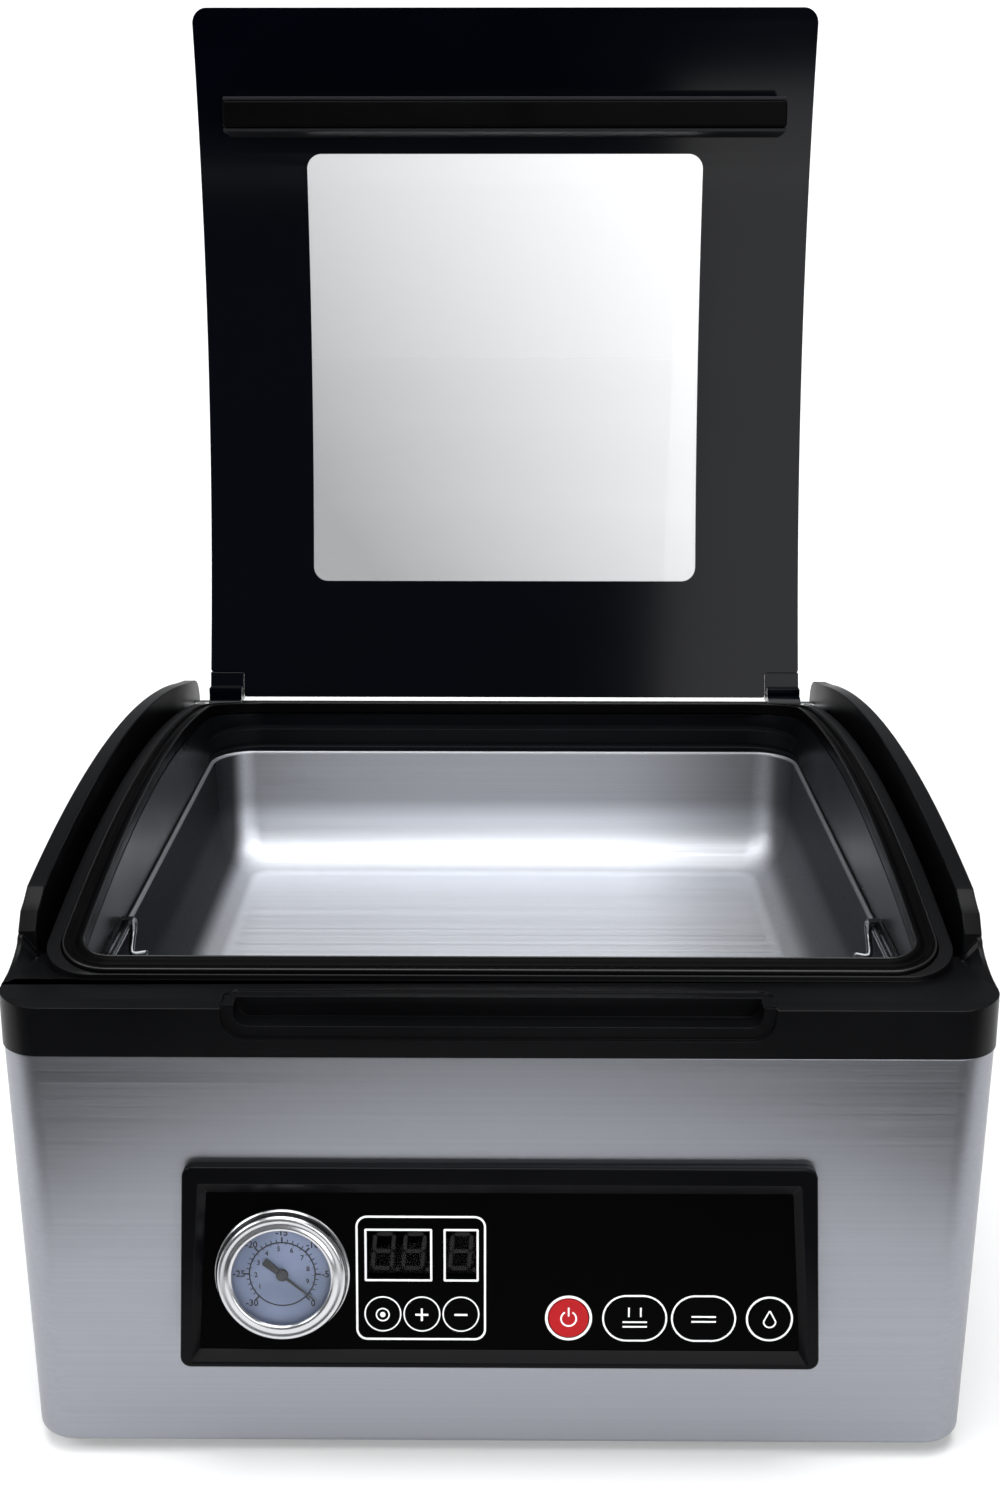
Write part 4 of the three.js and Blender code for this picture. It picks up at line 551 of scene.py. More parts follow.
def lid_glass_material():
    """Tinted glass; the darkening of its tint towards its lower left is painted shade."""
    n = Nodes("tinted_glass_painted_shade")
    x, _, z = n.split()
    share = n.ramp(n.math("MULTIPLY_ADD", z, 0.79, x), 0.0, 1.0, 0.13, 0.46)
    n.surface(clear=1.0, ior=1.22, rough=n.ramp(n.noise(6.0), 0.0, 0.03),
              color=n.colours(share, (0.0, (0.33, 0.334, 0.34)), (1.0, (0.9, 0.903, 0.91))))
    return n.material


def lens_material(name, colour, rough, ior):
    n = Nodes(name)
    cloud = n.mottle(colour, 0.02, 40.0)
    n.surface(clear=1.0, ior=ior, rough=n.ramp(cloud, rough * 0.5, rough * 1.5))
    return n.material


def dial_material():
    n = Nodes("dial_enamel")
    cloud = n.noise(42.0, 1.5)
    n.surface(gloss=0.3, rough=n.ramp(cloud, 0.4, 0.55),
              color=n.colours(cloud, (0.36, (0.13, 0.16, 0.24)), (0.64, (0.205, 0.24, 0.355))))
    return n.material


def segment_material():
    """Unlit segments, whose grey is a faint light of their own: the lens lets too little in."""
    n = Nodes("unlit_segment")
    n.surface(color=(0.0005, 0.0005, 0.0005), gloss=0.0, rough=0.8, glow=0.075,
              glow_color=n.blend(n.noise(200.0), (0.9, 0.86, 0.85), (1.0, 0.96, 0.95)))
    return n.material


glass = lid_glass_material()
gauge_glass = lens_material("gauge_glass", (0.96, 0.97, 0.98), 0.004, 1.2)
smoked = lens_material("smoked_lens", (0.3, 0.3, 0.32), 0.003, 1.1)
dial_enamel = dial_material()
segment_grey = segment_material()


# Body wrap
def plan(inset, half=BODY_HALF):
    return rounded(inset - half, half - inset, inset, BODY_DEPTH - inset, 17 - inset, 14 - inset, 14)


def wrap_loop(inset, z):
    share = max(0.0, min(1.0, (z - SHELL_LOW) / (SHELL_TOP - SHELL_LOW)))
    return [(x, y, z) for x, y in plan(inset, BODY_HALF - 3.4 * (1 - share))]


def outer_shell():
    fold = 2.4
    loops = []
    for i in range(7):
        turn = math.pi / 2 * i / 6
        loops.append(wrap_loop(0.6 + fold * (1 - math.sin(turn)),
                               SHELL_LOW + fold * (1 - math.cos(turn))))
    loops += [wrap_loop(0.6, SHELL_TOP - 0.5), wrap_loop(0.75, SHELL_TOP - 0.12),
              wrap_loop(1.1, SHELL_TOP), wrap_loop(1.5, SHELL_TOP - 0.1), wrap_loop(1.8, SHELL_TOP - 0.5)]
    loops += [wrap_loop(1.8, SHELL_LOW + fold), wrap_loop(0.6 + fold, SHELL_LOW + 1.2)]
    shell = make("shell", skin(loops, ring=True))
    shell = cut(shell,
                block(PANEL_X - BEZEL_HALF + 2.2, PANEL_X + BEZEL_HALF - 2.2, -6, 6,
                      PANEL_TOP - BEZEL_HEIGHT + 5, PANEL_TOP - 5),
                prism(rounded(-140, 140, 24, 140, 3, steps=5), "y", BODY_DEPTH - 6, BODY_DEPTH + 6))
    shell.name = "steel_wrap"
    bevel(shell, 0.35, 2, 40, lambda x, y, z: y > 410 and abs(x) < 142 and 20 < z < 142)
    piece(shell, steel, "body", ["outer_shell"])


outer_shell()


def feet():
    for side, tag in SIDES:
        for y, end in ((30.0, "front"), (390.0, "rear")):
            profile = [(0, 0), (9.2, 0), (10.4, 0.3), (11.2, 1.0), (12.3, 3.2), (12.5, 4.0), (12.5, 5.1),
                       (12.1, 5.7), (0, 5.7)]
            low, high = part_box(f"foot_{end}_{tag}")
            x = (low.x + high.x) / 2 / MM
            foot = make(f"rubber_foot_{end}_{tag}", lathe(profile, "z", (x, y, 0), 48))
            piece(foot, foot_rubber, "body", [f"foot_{end}_{tag}"])


feet()


# Top frame
def chamber_plan(margin, sides=1):
    return rounded(-GASKET_HALF - margin, GASKET_HALF + margin, GASKET_FRONT - margin,
                   GASKET_REAR + margin, 12 + margin, 26 + margin, 12, sides)


def along_arc(radius, y0, y1, steps=72):
    """Points (y, height) along an arc that has the lid's centre."""
    places = [y0 + (y1 - y0) * i / steps for i in range(steps + 1)]
    return [(y, arc(radius, y)) for y in places]


def under_arc(radius, y0, y1, floor):
    return prism([(y1, floor), (y0, floor)] + along_arc(radius, y0, y1), "x", -200, 200)


def over_arc(radius, y0, y1, ceiling):
    return prism(along_arc(radius, y0, y1) + [(y1, ceiling), (y0, ceiling)], "x", -200, 200)


# The slope of a guard's front foot, as (y, z)
TOE = bezier((20, LEDGE), (34, LEDGE + 1.5), (41, LEDGE + 6)) + [(42.2, LEDGE + 8.2)]


def guard_toe(side):
    """The low ramp in front of a guard: it falls from the outer edge to the ledge."""
    loops = []
    for y, z in [(18, LEDGE - 0.6)] + TOE + [(45, LEDGE + 9)]:
        loops.append([(side * x, y, up) for x, up in (
            (182.5, LEDGE - 8), (182.5, z - 0.5), (182.3, z - 0.15), (181.9, z),
            (180.7, z), (175.0, max(LEDGE - 0.7, z - 7.5)), (174.5, LEDGE - 8))])
    return common(make("toe", skin(loops)), prism(plan(0), "z", 150, 300))


def guard_profile():
    crest = ARC_R + 9.8
    foot, top, rear = 43.6, 60, 14.8
    points = [(foot, LEDGE + 10)]
    points += bezier((48.5, LEDGE + 16.5), (54.25, arc(crest, top) - 3.75), (top, arc(crest, top)))
    points += along_arc(crest, top, HINGE[0] - rear, 60)[1:-1]
    points += arc_points(*HINGE, rear, 77, 0, 16)
    points += [(HINGE[0] + rear, FRAME_LOW), (foot, FRAME_LOW)]
    return points


def top_frame():
    slab_profile = [(0.0, FRAME_LOW), (BODY_DEPTH, FRAME_LOW)]
    slab_profile += arc_points(BODY_DEPTH - 3, DECK - 3, 3, 0, 90, 8)
    slab_profile += [(46, DECK), (46, LEDGE), (5.8, LEDGE), (0, LEDGE - 1.1)]
    body = common(make("frame", prism(plan(0), "z", 160, 260)), prism(slab_profile, "x", -200, 200))
    guards = []
    for side in (-1, 1):
        low, high = span(side, 175.5, BODY_HALF)
        guard = make("guard", prism(guard_profile(), "x", low, high))
        bevel(guard, 1.5, 4, 40, lambda x, y, z: z > LEDGE - 6)
        guards.append(common(guard, prism(plan(0), "z", 150, 300)))
    rim = common(make("rim", prism(rounded(-171, 171, 22.4, 402, 20, steps=14), "z", FRAME_LOW, 300)),
                 under_arc(ARC_R - 1.5, 10, 410, 150))
    ends = []
    for side in (-1, 1):
        low, high = span(side, 151, 175.8)
        ends.append(common(make("end", block(low, high, 384, 402, FRAME_LOW, 300)),
                           under_arc(ARC_R - 4.5, 370, 410, 150)))
    body = join(body, *guards, rim, *ends)
    groove = common(make("groove", prism(chamber_plan(8.9), "z", FRAME_LOW - 4, 300)),
                    over_arc(ARC_R - 6.3, 10, 400, 320))
    recess_low = LEDGE - 13.3
    spaces = []
    for side in (-1, 1):
        low, high = span(side, LID_HALF - 19.6, LID_HALF + 1)
        spaces.append(prism(circle(*HINGE, 7.5, 40), "x", low, high))
        spaces.append(block(low, high, LID_REAR - 15, HINGE[0], HINGE[1] - 1, HINGE[1] + 13))
        low, high = span(side, LID_HALF, 181)
        spaces.append(prism(circle(*HINGE, 3.3, 24), "x", low, high))
    body = cut(
        body,
        prism(chamber_plan(3.3), "z", 171.9, 400),
        prism(rounded(-156.1, 156.1, 33.7, 348.8, 21, steps=12), "z", 150, 400),
        groove,
        prism(rounded(-99.5, 99.5, recess_low, LEDGE + 13.3, 9, steps=10), "y", -6, 1.5),
        prism(rounded(-95, 95, recess_low + 4.8, LEDGE + 13.3, 5, steps=8), "y", -6, 10),
        prism(rounded(-99.5, 99.5, -6, 14.2, 0.3, 5, 6), "z", LEDGE - 0.8, LEDGE + 6),
        *spaces)
    body = join(body, guard_toe(-1), guard_toe(1))
    body.name = "moulded_frame"
    bevel(body, 0.4, 2, 38, lambda x, y, z: z > FRAME_LOW + 1 and (y < 30 or z > DECK - 0.4),
          clamp=False)

    def keep_within(bm):
        for vert in bm.verts:
            vert.co.x = max(-BODY_HALF * MM, min(BODY_HALF * MM, vert.co.x))
    edit(body, keep_within)
    clean(body)
    piece(body, frame_black, "body", ["top_frame"], 30)


top_frame()


def swept(profile):
    """A ring round the chamber, from a profile of (distance outwards, radius less the lid's)."""
    return skin([[(x, y, arc(ARC_R + lift, y)) for x, y in chamber_plan(out, 48)]
                 for out, lift in profile], ring=True)


def rim_gasket():
    width = 8.6
    half = [(0.3, -6.0), (0.0, -5.6), (0.0, -1.5), (0.25, -0.8), (0.8, -0.38), (1.5, -0.3),
            (2.2, -0.42), (2.8, -0.85), (3.4, -1.35)]
    profile = half + [(width / 2, -1.55)] + [(width - out, lift) for out, lift in reversed(half)]
    gasket = make("lid_gasket", swept(profile))
    for name, out in (("gasket_lip_inner", 0.55), ("gasket_lip_outer", 8.05)):
        piece(make(name, swept(circle(out, -0.6, 0.42, 10))), lip_rubber, "body", (), 80)
    piece(gasket, seal_rubber, "body", ["rim_gasket"])


rim_gasket()


def chamber_collar():
    low = PAN_EDGE + 0.3
    loops = []
    for out, lift in ((0.0, None), (0.0, -6.9), (0.2, -6.45), (0.7, -6.3), (3.0, -6.3), (3.0, None)):
        loops.append([(x, y, low if lift is None else arc(ARC_R + lift, y))
                      for x, y in chamber_plan(out, 48)])
    collar = make("collar", skin(loops, ring=True))

    def filler(front, height):
        shape = common(make("filler", prism(chamber_plan(1.5), "z", low, low + height)),
                       block(-200, 200, front - 26, BODY_DEPTH, low, low + height))
        return cut(shape, prism(rounded(-GASKET_HALF, GASKET_HALF, 35, front, 26, steps=12), "z",
                                low - 6, low + height + 6))

    steps = [filler(GASKET_REAR - 13, 3), filler(GASKET_REAR - 9, 11.5)]
    for number, step in enumerate(steps):
        bevel(step, 0.8, 3, 50)
        step.name = f"chamber_lining_step_{number + 1}"
        piece(step, collar_black, "body", ())
    collar.name = "chamber_lining"
    piece(collar, collar_black, "body", ["chamber_collar"])


chamber_collar()


def pan_loop(inset, z):
    loss = (20 - 6) / 27.0
    return [(x, y, z) for x, y in rounded(-154.8 + inset, 154.8 - inset, 35 + inset, 347.5 - inset,
                                          20 - inset * loss, steps=12, sides=4)]


def chamber_pan():
    depth = PAN_EDGE - PAN_FLOOR

    def side(grow, lift, count=18):
        radius = 24 + grow
        out = []
        for i in range(count + 1):
            turn = math.pi / 2 * i / count
            inset = 3 * (1 - radius / depth) + radius * (1 - math.sin(turn)) - grow
            out.append((inset, PAN_FLOOR + lift + radius * (1 - math.cos(turn))))
        return out

    flange = [(x, y, PAN_EDGE - 1) for x, y in chamber_plan(2.7, 4)]
    loops = [pan_loop(inset, z) for inset, z in side(1, -1)]
    loops += [pan_loop(-1.0, PAN_EDGE - 1.4), flange, [(x, y, PAN_EDGE) for x, y, _ in flange]]
    bead = [(-2.0, 0.0), (-1.95, 0.55), (-1.65, 1.0), (-1.15, 1.2), (-0.6, 1.05), (-0.2, 0.6),
            (0.0, -0.1), (0.0, -0.8)]
    loops += [pan_loop(inset, PAN_EDGE + up) for inset, up in bead]
    loops += [pan_loop(inset, z) for inset, z in reversed(side(0, 0))]
    pan = make("pan", skin(loops))
    holes = [prism(circle(s * 100, BAR_Y, 6.3, 40), "z", 100, 120) for s in (-1, 1)]
    pan = cut(pan, *holes, prism(circle(60, 130, 3.5, 32), "z", 100, 120))
    pan.name = "drawn_pan"
    bevel(pan, 0.3, 2, 60, lambda x, y, z: z < PAN_FLOOR + 2)
    piece(pan, pan_steel, "body", ["chamber_pan"], 40)


chamber_pan()


# Seal bar and clips
def bar(name, node, half, width, round_edge, material):
    low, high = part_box(node)
    obj = make(name, block(-half, half, BAR_Y - width / 2, BAR_Y + width / 2, low.z / MM, high.z / MM))
    bevel(obj, round_edge, 3, 30)
    piece(obj, material, "seal_lift", [node])


bar("seal_bar_carrier", "seal_bar_base", 148, 13, 0.8, case_black)
bar("seal_bar_rail", "seal_bar", 150, 11, 0.6, aluminium)
bar("heating_band", "heating_strip", 150, 5, 0.15, nichrome)

for side, tag in SIDES:
    x = side * 153.6
    wire = [(x, 50, 176), (x, 80, 176), (x, 104, 176), (x, 107.4, 176), (x - side * 0.5, 110, 174.7),
            (x - side * 0.75, 108.7, 172.1), (x - side * 1.5, 98.8, 166.5), (x - side * 3, 97.5, 165.2),
            (x - side * 7, 98.8, 165.2)]
    clip = make(f"wire_clip_{tag}", tube(smooth_path(wire), 1.3))
    piece(clip, clip_steel, f"clip_{tag}", [f"bag_clip_{tag}"])


# Lid, drawn closed and swung open
def swing(obj):
    """Turns a lid piece from closed to the open rest pose."""
    pivot = Vector(to_frame((0, *HINGE)))
    obj.data.transform(Matrix.Translation(pivot) @ Matrix.Rotation(-LID_OPEN, 4, "X")
                       @ Matrix.Translation(-pivot))


def lid_outline(inset=0.0):
    radius = 8.0
    x = LID_HALF - inset
    y0 = LID_FRONT + inset
    y1 = LID_REAR - inset
    notch_x = LID_HALF - HINGE_WIDTH - 0.6 - inset
    notch_y = LID_REAR - 14 - inset
    points = arc_points(-x + radius, y0 + radius, radius, 180, 270, 10)
    points += arc_points(x - radius, y0 + radius, radius, 270, 360, 10)
    for side in (1, -1):
        corner = arc_points(x - 1.5, notch_y - 1.5, 1.5, 0, 90, 4)
        corner += arc_points(notch_x + 2.0, notch_y + 2.0, 2.0, 270, 180, 4)
        corner += arc_points(notch_x - 1.5, y1 - 1.5, 1.5, 0, 90, 4)
        if side < 0:
            corner = [(-px, py) for px, py in reversed(corner)]
        points += corner
    return points


LID_FOLDS = [LID_FRONT + (LID_REAR - LID_FRONT) * i / 56 for i in range(1, 56)]


def lid_pane():
    pane = make("glass_pane", prism(lid_outline(), "z", 0.7, 8.0))
    bevel(pane, 0.9, 3, 50)
    bend(pane, LID_FOLDS)
    swing(pane)
    piece(pane, glass, "lid", ["lid_glass"], 40)


lid_pane()


def lid_mask():
    half_angle = math.asin((LID_REAR - LID_FRONT) / 2 / ARC_R)

    def depth(distance):
        return ARC_Y - ARC_R * math.sin(half_angle - distance / ARC_R)

    window = rounded(-109, 109, depth(75.9), depth(ARC_R * half_angle * 2 - 66.75), 8, steps=12)
    mask = cut(make("mask", prism(lid_outline(inset=0.25), "z", 0.0, 0.4)), prism(window, "z", -5, 5))
    mask.name = "lid_mask"
    bend(mask, LID_FOLDS)
    swing(mask)
    piece(mask, lid_black, "lid", ["lid_border"], 40)


lid_mask()

# The soft strip under the pressure bar, with the lid closed
STRIP_LOW = arc(ARC_R, BAR_Y) - 0.3 - (5.7 + 18.2 + 13.6 / 3)
HOLDER_LOW = STRIP_LOW + 2


def pressure_parts():
    front, rear = BAR_Y - 9.1, BAR_Y + 9.1
    profile = [(front, HOLDER_LOW), (BAR_Y - 7.1, HOLDER_LOW), (BAR_Y - 7.1, STRIP_LOW + 6.0),
               (BAR_Y + 7.1, STRIP_LOW + 6.0), (BAR_Y + 7.1, HOLDER_LOW), (rear, HOLDER_LOW)]
    profile += along_arc(ARC_R - 0.3, rear, front, 6)
    holder = make("pressure_holder", prism(profile, "x", -150, 150))
    bevel(holder, 0.5, 2, 50)
    swing(holder)
    piece(holder, bar_black, "lid", ["pressure_bar"])
    strip = make("pressure_cushion", block(-150, 150, BAR_Y - 6.8, BAR_Y + 6.8, STRIP_LOW,
                                           STRIP_LOW + 5.7))
    bevel(strip, 1.4, 4, 40)
    swing(strip)
    piece(strip, seal_rubber, "lid", ["pressure_strip"])


pressure_parts()


def hinge_blocks():
    low_gap = ARC_R + 8.3
    plate_front, plate_rear = HINGE[0] - 33, HINGE[0] - 1.8
    for side, tag in SIDES:
        low, high = span(side, LID_HALF - HINGE_WIDTH, LID_HALF - 0.3)
        plate = make("plate", prism(along_arc(low_gap, plate_front, plate_rear, 10)
                                    + along_arc(low_gap + 3.6, plate_front, plate_rear, 10)[::-1],
                                    "x", low, high))
        bevel(plate, 0.9, 3, 50)
        radius = 6.5 if side > 0 else 4.2
        knuckle = make("knuckle", prism(circle(*HINGE, radius, 48), "x", low, high))
        bevel(knuckle, 0.6, 2, 60)
        web = make("web", block(low, high, plate_rear - 9, plate_rear, HINGE[1],
                                arc(low_gap, plate_rear) + 1.8))
        bevel(web, 0.6, 2, 50)
        hinge = cut(join(plate, knuckle, web),
                    prism(circle(*HINGE, 3.3, 32), "x", low - 6, high + 6))
        hinge.name = f"lid_hinge_{tag}"
        swing(hinge)
        piece(hinge, lid_black, "lid", [f"hinge_block_{tag}"])
        low, high = span(side, LID_HALF - 19.05, LID_HALF - 0.1)
        flat = rect(low, high, LID_REAR - 13.9, LID_REAR)
        cover = make(f"hinge_cover_{tag}", prism(flat, "z", 0.0, 7.8))
        bevel(cover, 0.5, 2, 50)
        bend(cover, [LID_REAR - 10, LID_REAR - 7, LID_REAR - 4])
        swing(cover)
        piece(cover, lid_black, "lid", (), 40)


hinge_blocks()


# Control panel, in its own tilted frame
PANEL = Matrix.Translation((PANEL_X, -PANEL_OUT, PANEL_TOP)) @ Matrix.Rotation(PANEL_TILT, 4, "X")
BAR_SIDE = BEZEL_HALF - 6.1
OPEN_SIDE = BAR_SIDE - 2.9
OPEN_TOP = 10.8
OPEN_LOW = 71.4
GAUGE = (-79.8, -41.6)


def flare(points, gain):
    return [(x - math.copysign(1, x) * gain * z / BEZEL_HEIGHT, z) for x, z in points]


def back_depth(z):
    """How far behind the panel's front plane the steel front lies at a height."""
    return (0.3 + PANEL_OUT + z * math.sin(PANEL_TILT)) / math.cos(PANEL_TILT)


def panel_bezel():
    def outer(inset, y):
        points = flare(rounded(-BEZEL_HALF + inset, BEZEL_HALF - inset, -BEZEL_HEIGHT + inset, -inset,
                               4 - inset, steps=8), 2)
        return [(x, back_depth(z) if y is None else y, z) for x, z in points]

    def inner(side, top, bottom, y, radius):
        points = flare(rounded(-side, side, -bottom, -top, radius, steps=8), 4.2)
        return [(x, back_depth(z) if y is None else y, z) for x, z in points]

    loops = [outer(0, None), outer(0, 0.9), outer(0.12, 0.45), outer(0.45, 0.12), outer(0.9, 0)]
    loops += [inner(BAR_SIDE + 0.25, 6.35, 75.45, 0, 1.2), inner(BAR_SIDE, 6.6, 75.2, 0.1, 1.0),
              inner(BAR_SIDE - 0.15, 6.8, 75.0, 0.28, 0.95)]
    loops.append(inner(OPEN_SIDE + 0.2, OPEN_TOP - 0.2, OPEN_LOW + 0.2, 2.8, 0.7))
    loops += [inner(OPEN_SIDE, OPEN_TOP, OPEN_LOW, y, 0.6) for y in (3.05, 3.25, None)]
    bezel = make("panel_surround", skin(loops, ring=True), PANEL)
    piece(bezel, bezel_black, "body", ["panel_bezel"], 28)


panel_bezel()

# Name, middle, half width and half height, and how far its printed ring reaches out
KEYS = [("set", -43.0, -57.6, 6, 6, 0.84), ("plus", -28.58, -57.6, 6, 6, 0.84),
        ("minus", -14.16, -57.6, 6, 6, 0.84), ("cancel", 25.6, -58.9, 7.4, 7.4, 1.28),
        ("vacuum_and_seal", 50.0, -58.9, 11, 8, 1.0), ("seal", 75.4, -58.9, 11, 8, 1.0),
        ("marinate", 99.7, -58.9, 7.6, 7.6, 1.07)]
# Left end and width of the two windows
WINDOWS = [(-49.6, 24.9), (-20.5, 12.9)]
# Height of both windows, from the panel's top edge
WINDOW_TOP = -24.7
WINDOW_LOW = -44.9


def key_outline(x, z, half_x, half_z, margin):
    if half_x == half_z:
        return circle(x, z, half_x + margin, 48)
    return rounded(x - half_x - margin, x + half_x + margin, z - half_z - margin, z + half_z + margin,
                   half_z + margin - 0.02, steps=14)


def panel_face():
    half = OPEN_SIDE + 6.1
    top = OPEN_TOP - 1.9
    bottom = OPEN_LOW + 1.1
    face = make("face", prism(rect(-half, half, -bottom, -top), "y", 3.3, 5.3), PANEL)
    tools = [make("tool", prism(key_outline(x, z, a, b, 0.3), "y", -5, 12), PANEL)
             for _, x, z, a, b, _ in KEYS]
    tools += [make("tool", prism(rect(left + 1, left + width - 1, WINDOW_LOW + 1, WINDOW_TOP - 1), "y",
                                 -5, 12), PANEL) for left, width in WINDOWS]
    tools.append(make("tool", prism(circle(*GAUGE, 22.3, 96), "y", -5, 12), PANEL))
    face = cut(face, *tools)
    face.name = "panel_sheet"
    piece(face, face_black, "body", ["panel_face"])


panel_face()


def strip_ring(outside, inside, y0=3.22, y1=3.3):
    loops = [[(x, y, z) for x, z in outline] for outline, y in
             ((outside, y1), (outside, y0), (inside, y0), (inside, y1))]
    return skin(loops, ring=True)


def face_print():
    shapes = []
    for _, x, z, a, b, wide in KEYS:
        shapes.append(strip_ring(key_outline(x, z, a, b, wide), key_outline(x, z, a, b, 0.34)))
    for left, width in WINDOWS:
        shapes.append(strip_ring(rounded(left, left + width, WINDOW_LOW, WINDOW_TOP, 0.5, steps=4),
                                 rounded(left + 0.75, left + width - 0.75, WINDOW_LOW + 0.75,
                                         WINDOW_TOP - 0.75, 0.2, steps=4)))
    shapes.append(strip_ring(rounded(-52.85, -4.9, -67.7, -19.7, 4.2, steps=10),
                             rounded(-52.1, -5.65, -66.95, -20.45, 3.45, steps=10)))
    ink = make("panel_print", merged(*shapes), PANEL)
    piece(ink, white_ink, "body", ())


face_print()


CAP_FRONT = 2.7
INK_FRONT = CAP_FRONT - 0.06


def keys():
    edge = [(1.0, 6.4), (1.0, 5.6), (0.0, 5.6), (0.0, 3.15), (-0.1, 2.9), (-0.35, 2.72),
            (-0.7, CAP_FRONT)]
    for name, x, z, a, b, _ in KEYS:
        loops = [[(px, y, pz) for px, pz in key_outline(x, z, a, b, margin)] for margin, y in edge]
        look, slot = (key_red_plastic, "key_red") if name == "cancel" else (key_black, "panel_black")
        piece(make(f"cap_{name}", skin(loops), PANEL), look, f"key_{name}", [f"key_{name}"])


keys()


def placed(points, turn, x, z):
    """Points of an outline, turned by some degrees about its origin and moved to a place."""
    c, s = math.cos(math.radians(turn)), math.sin(math.radians(turn))
    return [(x + a * c - b * s, z + a * s + b * c) for a, b in points]


def bar_shape(x, z, length, width, turn=0.0, y0=INK_FRONT, y1=CAP_FRONT):
    flat = rect(-length / 2, length / 2, -width / 2, width / 2)
    return prism(placed(flat, turn, x, z), "y", y0, y1)


def ring_shape(x, z, radius, width, start=0, end=360, steps=40, y0=INK_FRONT, y1=CAP_FRONT):
    if end - start >= 360:
        return strip_ring(circle(x, z, radius, steps), circle(x, z, radius - width, steps), y0, y1)
    outside = arc_points(x, z, radius, start, end, steps)
    inside = arc_points(x, z, radius - width, start, end, steps)
    return prism(outside + inside[::-1], "y", y0, y1)


def key_symbols():
    """Plain symbols: each is drawn about the middle of its key."""
    arm = 2.05
    stroke = 0.6
    symbols = {
        "set": [("ring", 0, 0, 2.6, 0.5, 0, 360, 40), ("ring", 0, 0, 1.0, 0.95, 0, 360, 20)],
        "plus": [("bar", 0, 0, 4.8, 0.75), ("bar", 0, 1.4, arm, 0.75, 90),
                 ("bar", 0, -1.4, arm, 0.75, 90)],
        "minus": [("bar", 0, 0, 4.8, 0.75)],
        "cancel": [("ring", 0, 0, 3.1, stroke, -240, 60), ("bar", 0, 2.6, 3.4, stroke, 90)],
        "vacuum_and_seal": [("bar", -2.2, 2.6, 3.6, stroke, 90), ("bar", 2.2, 2.6, 3.6, stroke, 90),
                            ("bar", 0, -1.2, 9.0, stroke), ("bar", 0, -3.0, 9.0, stroke)],
        "seal": [("bar", 0, 0.95, 9.0, stroke), ("bar", 0, -0.95, 9.0, stroke)],
        "marinate": [("ring", 0, -0.8, 2.5, 0.55, -180, 0), ("bar", -1.15, 1.25, 4.6, 0.55, 62),
                     ("bar", 1.15, 1.25, 4.6, 0.55, 118)],
    }
    draw = {"bar": bar_shape, "ring": ring_shape}
    for name, x, z, *_ in KEYS:
        shapes = [draw[kind](x + dx, z + dz, *sizes) for kind, dx, dz, *sizes in symbols[name]]
        piece(make(f"symbol_{name}", merged(*shapes), PANEL), white_ink, f"key_{name}", ())


key_symbols()


def display():
    pane = prism(rounded(-51.1, -6.1, -46.4, -23.2, 0.6, steps=4), "y", 5.6, 6.6)
    piece(make("display_lens", pane, PANEL), smoked, "body", ["display_window"])
    middle = -34.8
    face = 6.9
    for name, centre, width in (("two_digits", -37.15, 24.7), ("one_digit", -14.05, 12.7)):
        outline = rect(centre - width / 2, centre + width / 2, middle - 9.5, middle + 9.5)
        module = make(f"module_display_{name}", prism(outline, "y", face, face + 7), PANEL)
        bevel(module, 0.3, 2, 50)
        piece(module, module_black, "body", [f"display_{name}"])
    half = 3.05
    wide = 0.72
    slant = 0.09
    level = [(-half, 0), (-half + wide, -wide), (half - wide, -wide), (half, 0), (half - wide, wide),
             (-half + wide, wide)]
    upright = [(-b, a) for a, b in level]
    segments = [(0, 6.6, level), (0, -6.6, level), (0, 0, level), (-3.5, 3.3, upright),
                (3.5, 3.3, upright), (-3.5, -3.3, upright), (3.5, -3.3, upright)]
    digits = []
    for centre in (-42.9, -31.6, -14.3):
        for x, z, hexagon in segments:
            points = [(centre + x + a + slant * (z + b), middle + z + b) for a, b in hexagon]
            digits.append(prism(points, "y", face - 0.12, face))
        digits.append(prism(circle(centre + 5.0, -42.0, 0.75, 20), "y", face - 0.12, face))
    ink = make("unlit_digits", merged(*digits), PANEL)
    piece(ink, segment_grey, "body", ())


display()


# Vacuum gauge
def gauge_parts():
    rim = [(21.8, -1.4), (18.1, -1.4), (18.05, -1.8), (18.2, -2.3), (18.6, -2.75), (19.2, -2.98),
           (19.9, -2.9), (20.5, -2.55), (21.1, -2.4), (21.8, -2.6), (22.5, -2.7), (23.1, -2.45),
           (23.6, -1.9), (23.95, -1.2), (24.0, -0.4), (24.0, 0.9), (24.3, 1.4), (24.8, 1.7), (24.8, 3.0),
           (21.8, 3.0)]
    lens = [(0, -1.1), (21.2, -1.1), (21.5, -0.9), (21.5, -0.3), (21.2, -0.1), (0, -0.1)]
    dial = [(1.1, 1.9), (21.5, 1.9), (21.5, 2.7), (1.1, 2.7)]
    for name, profile, ring, material, node, slot, angle in (
            ("gauge_rim", rim, True, chrome, "gauge_ring", "chrome", 50),
            ("gauge_cover", lens, False, gauge_glass, "gauge_lens", "clear_glass", 32),
            ("gauge_face", dial, True, dial_enamel, "gauge_dial", "dial_blue", 32)):
        turned = lathe(profile, "y", (GAUGE[0], 0, GAUGE[1]), 96, ring)
        piece(make(name, turned, PANEL), material, "body", [node], angle)


gauge_parts()


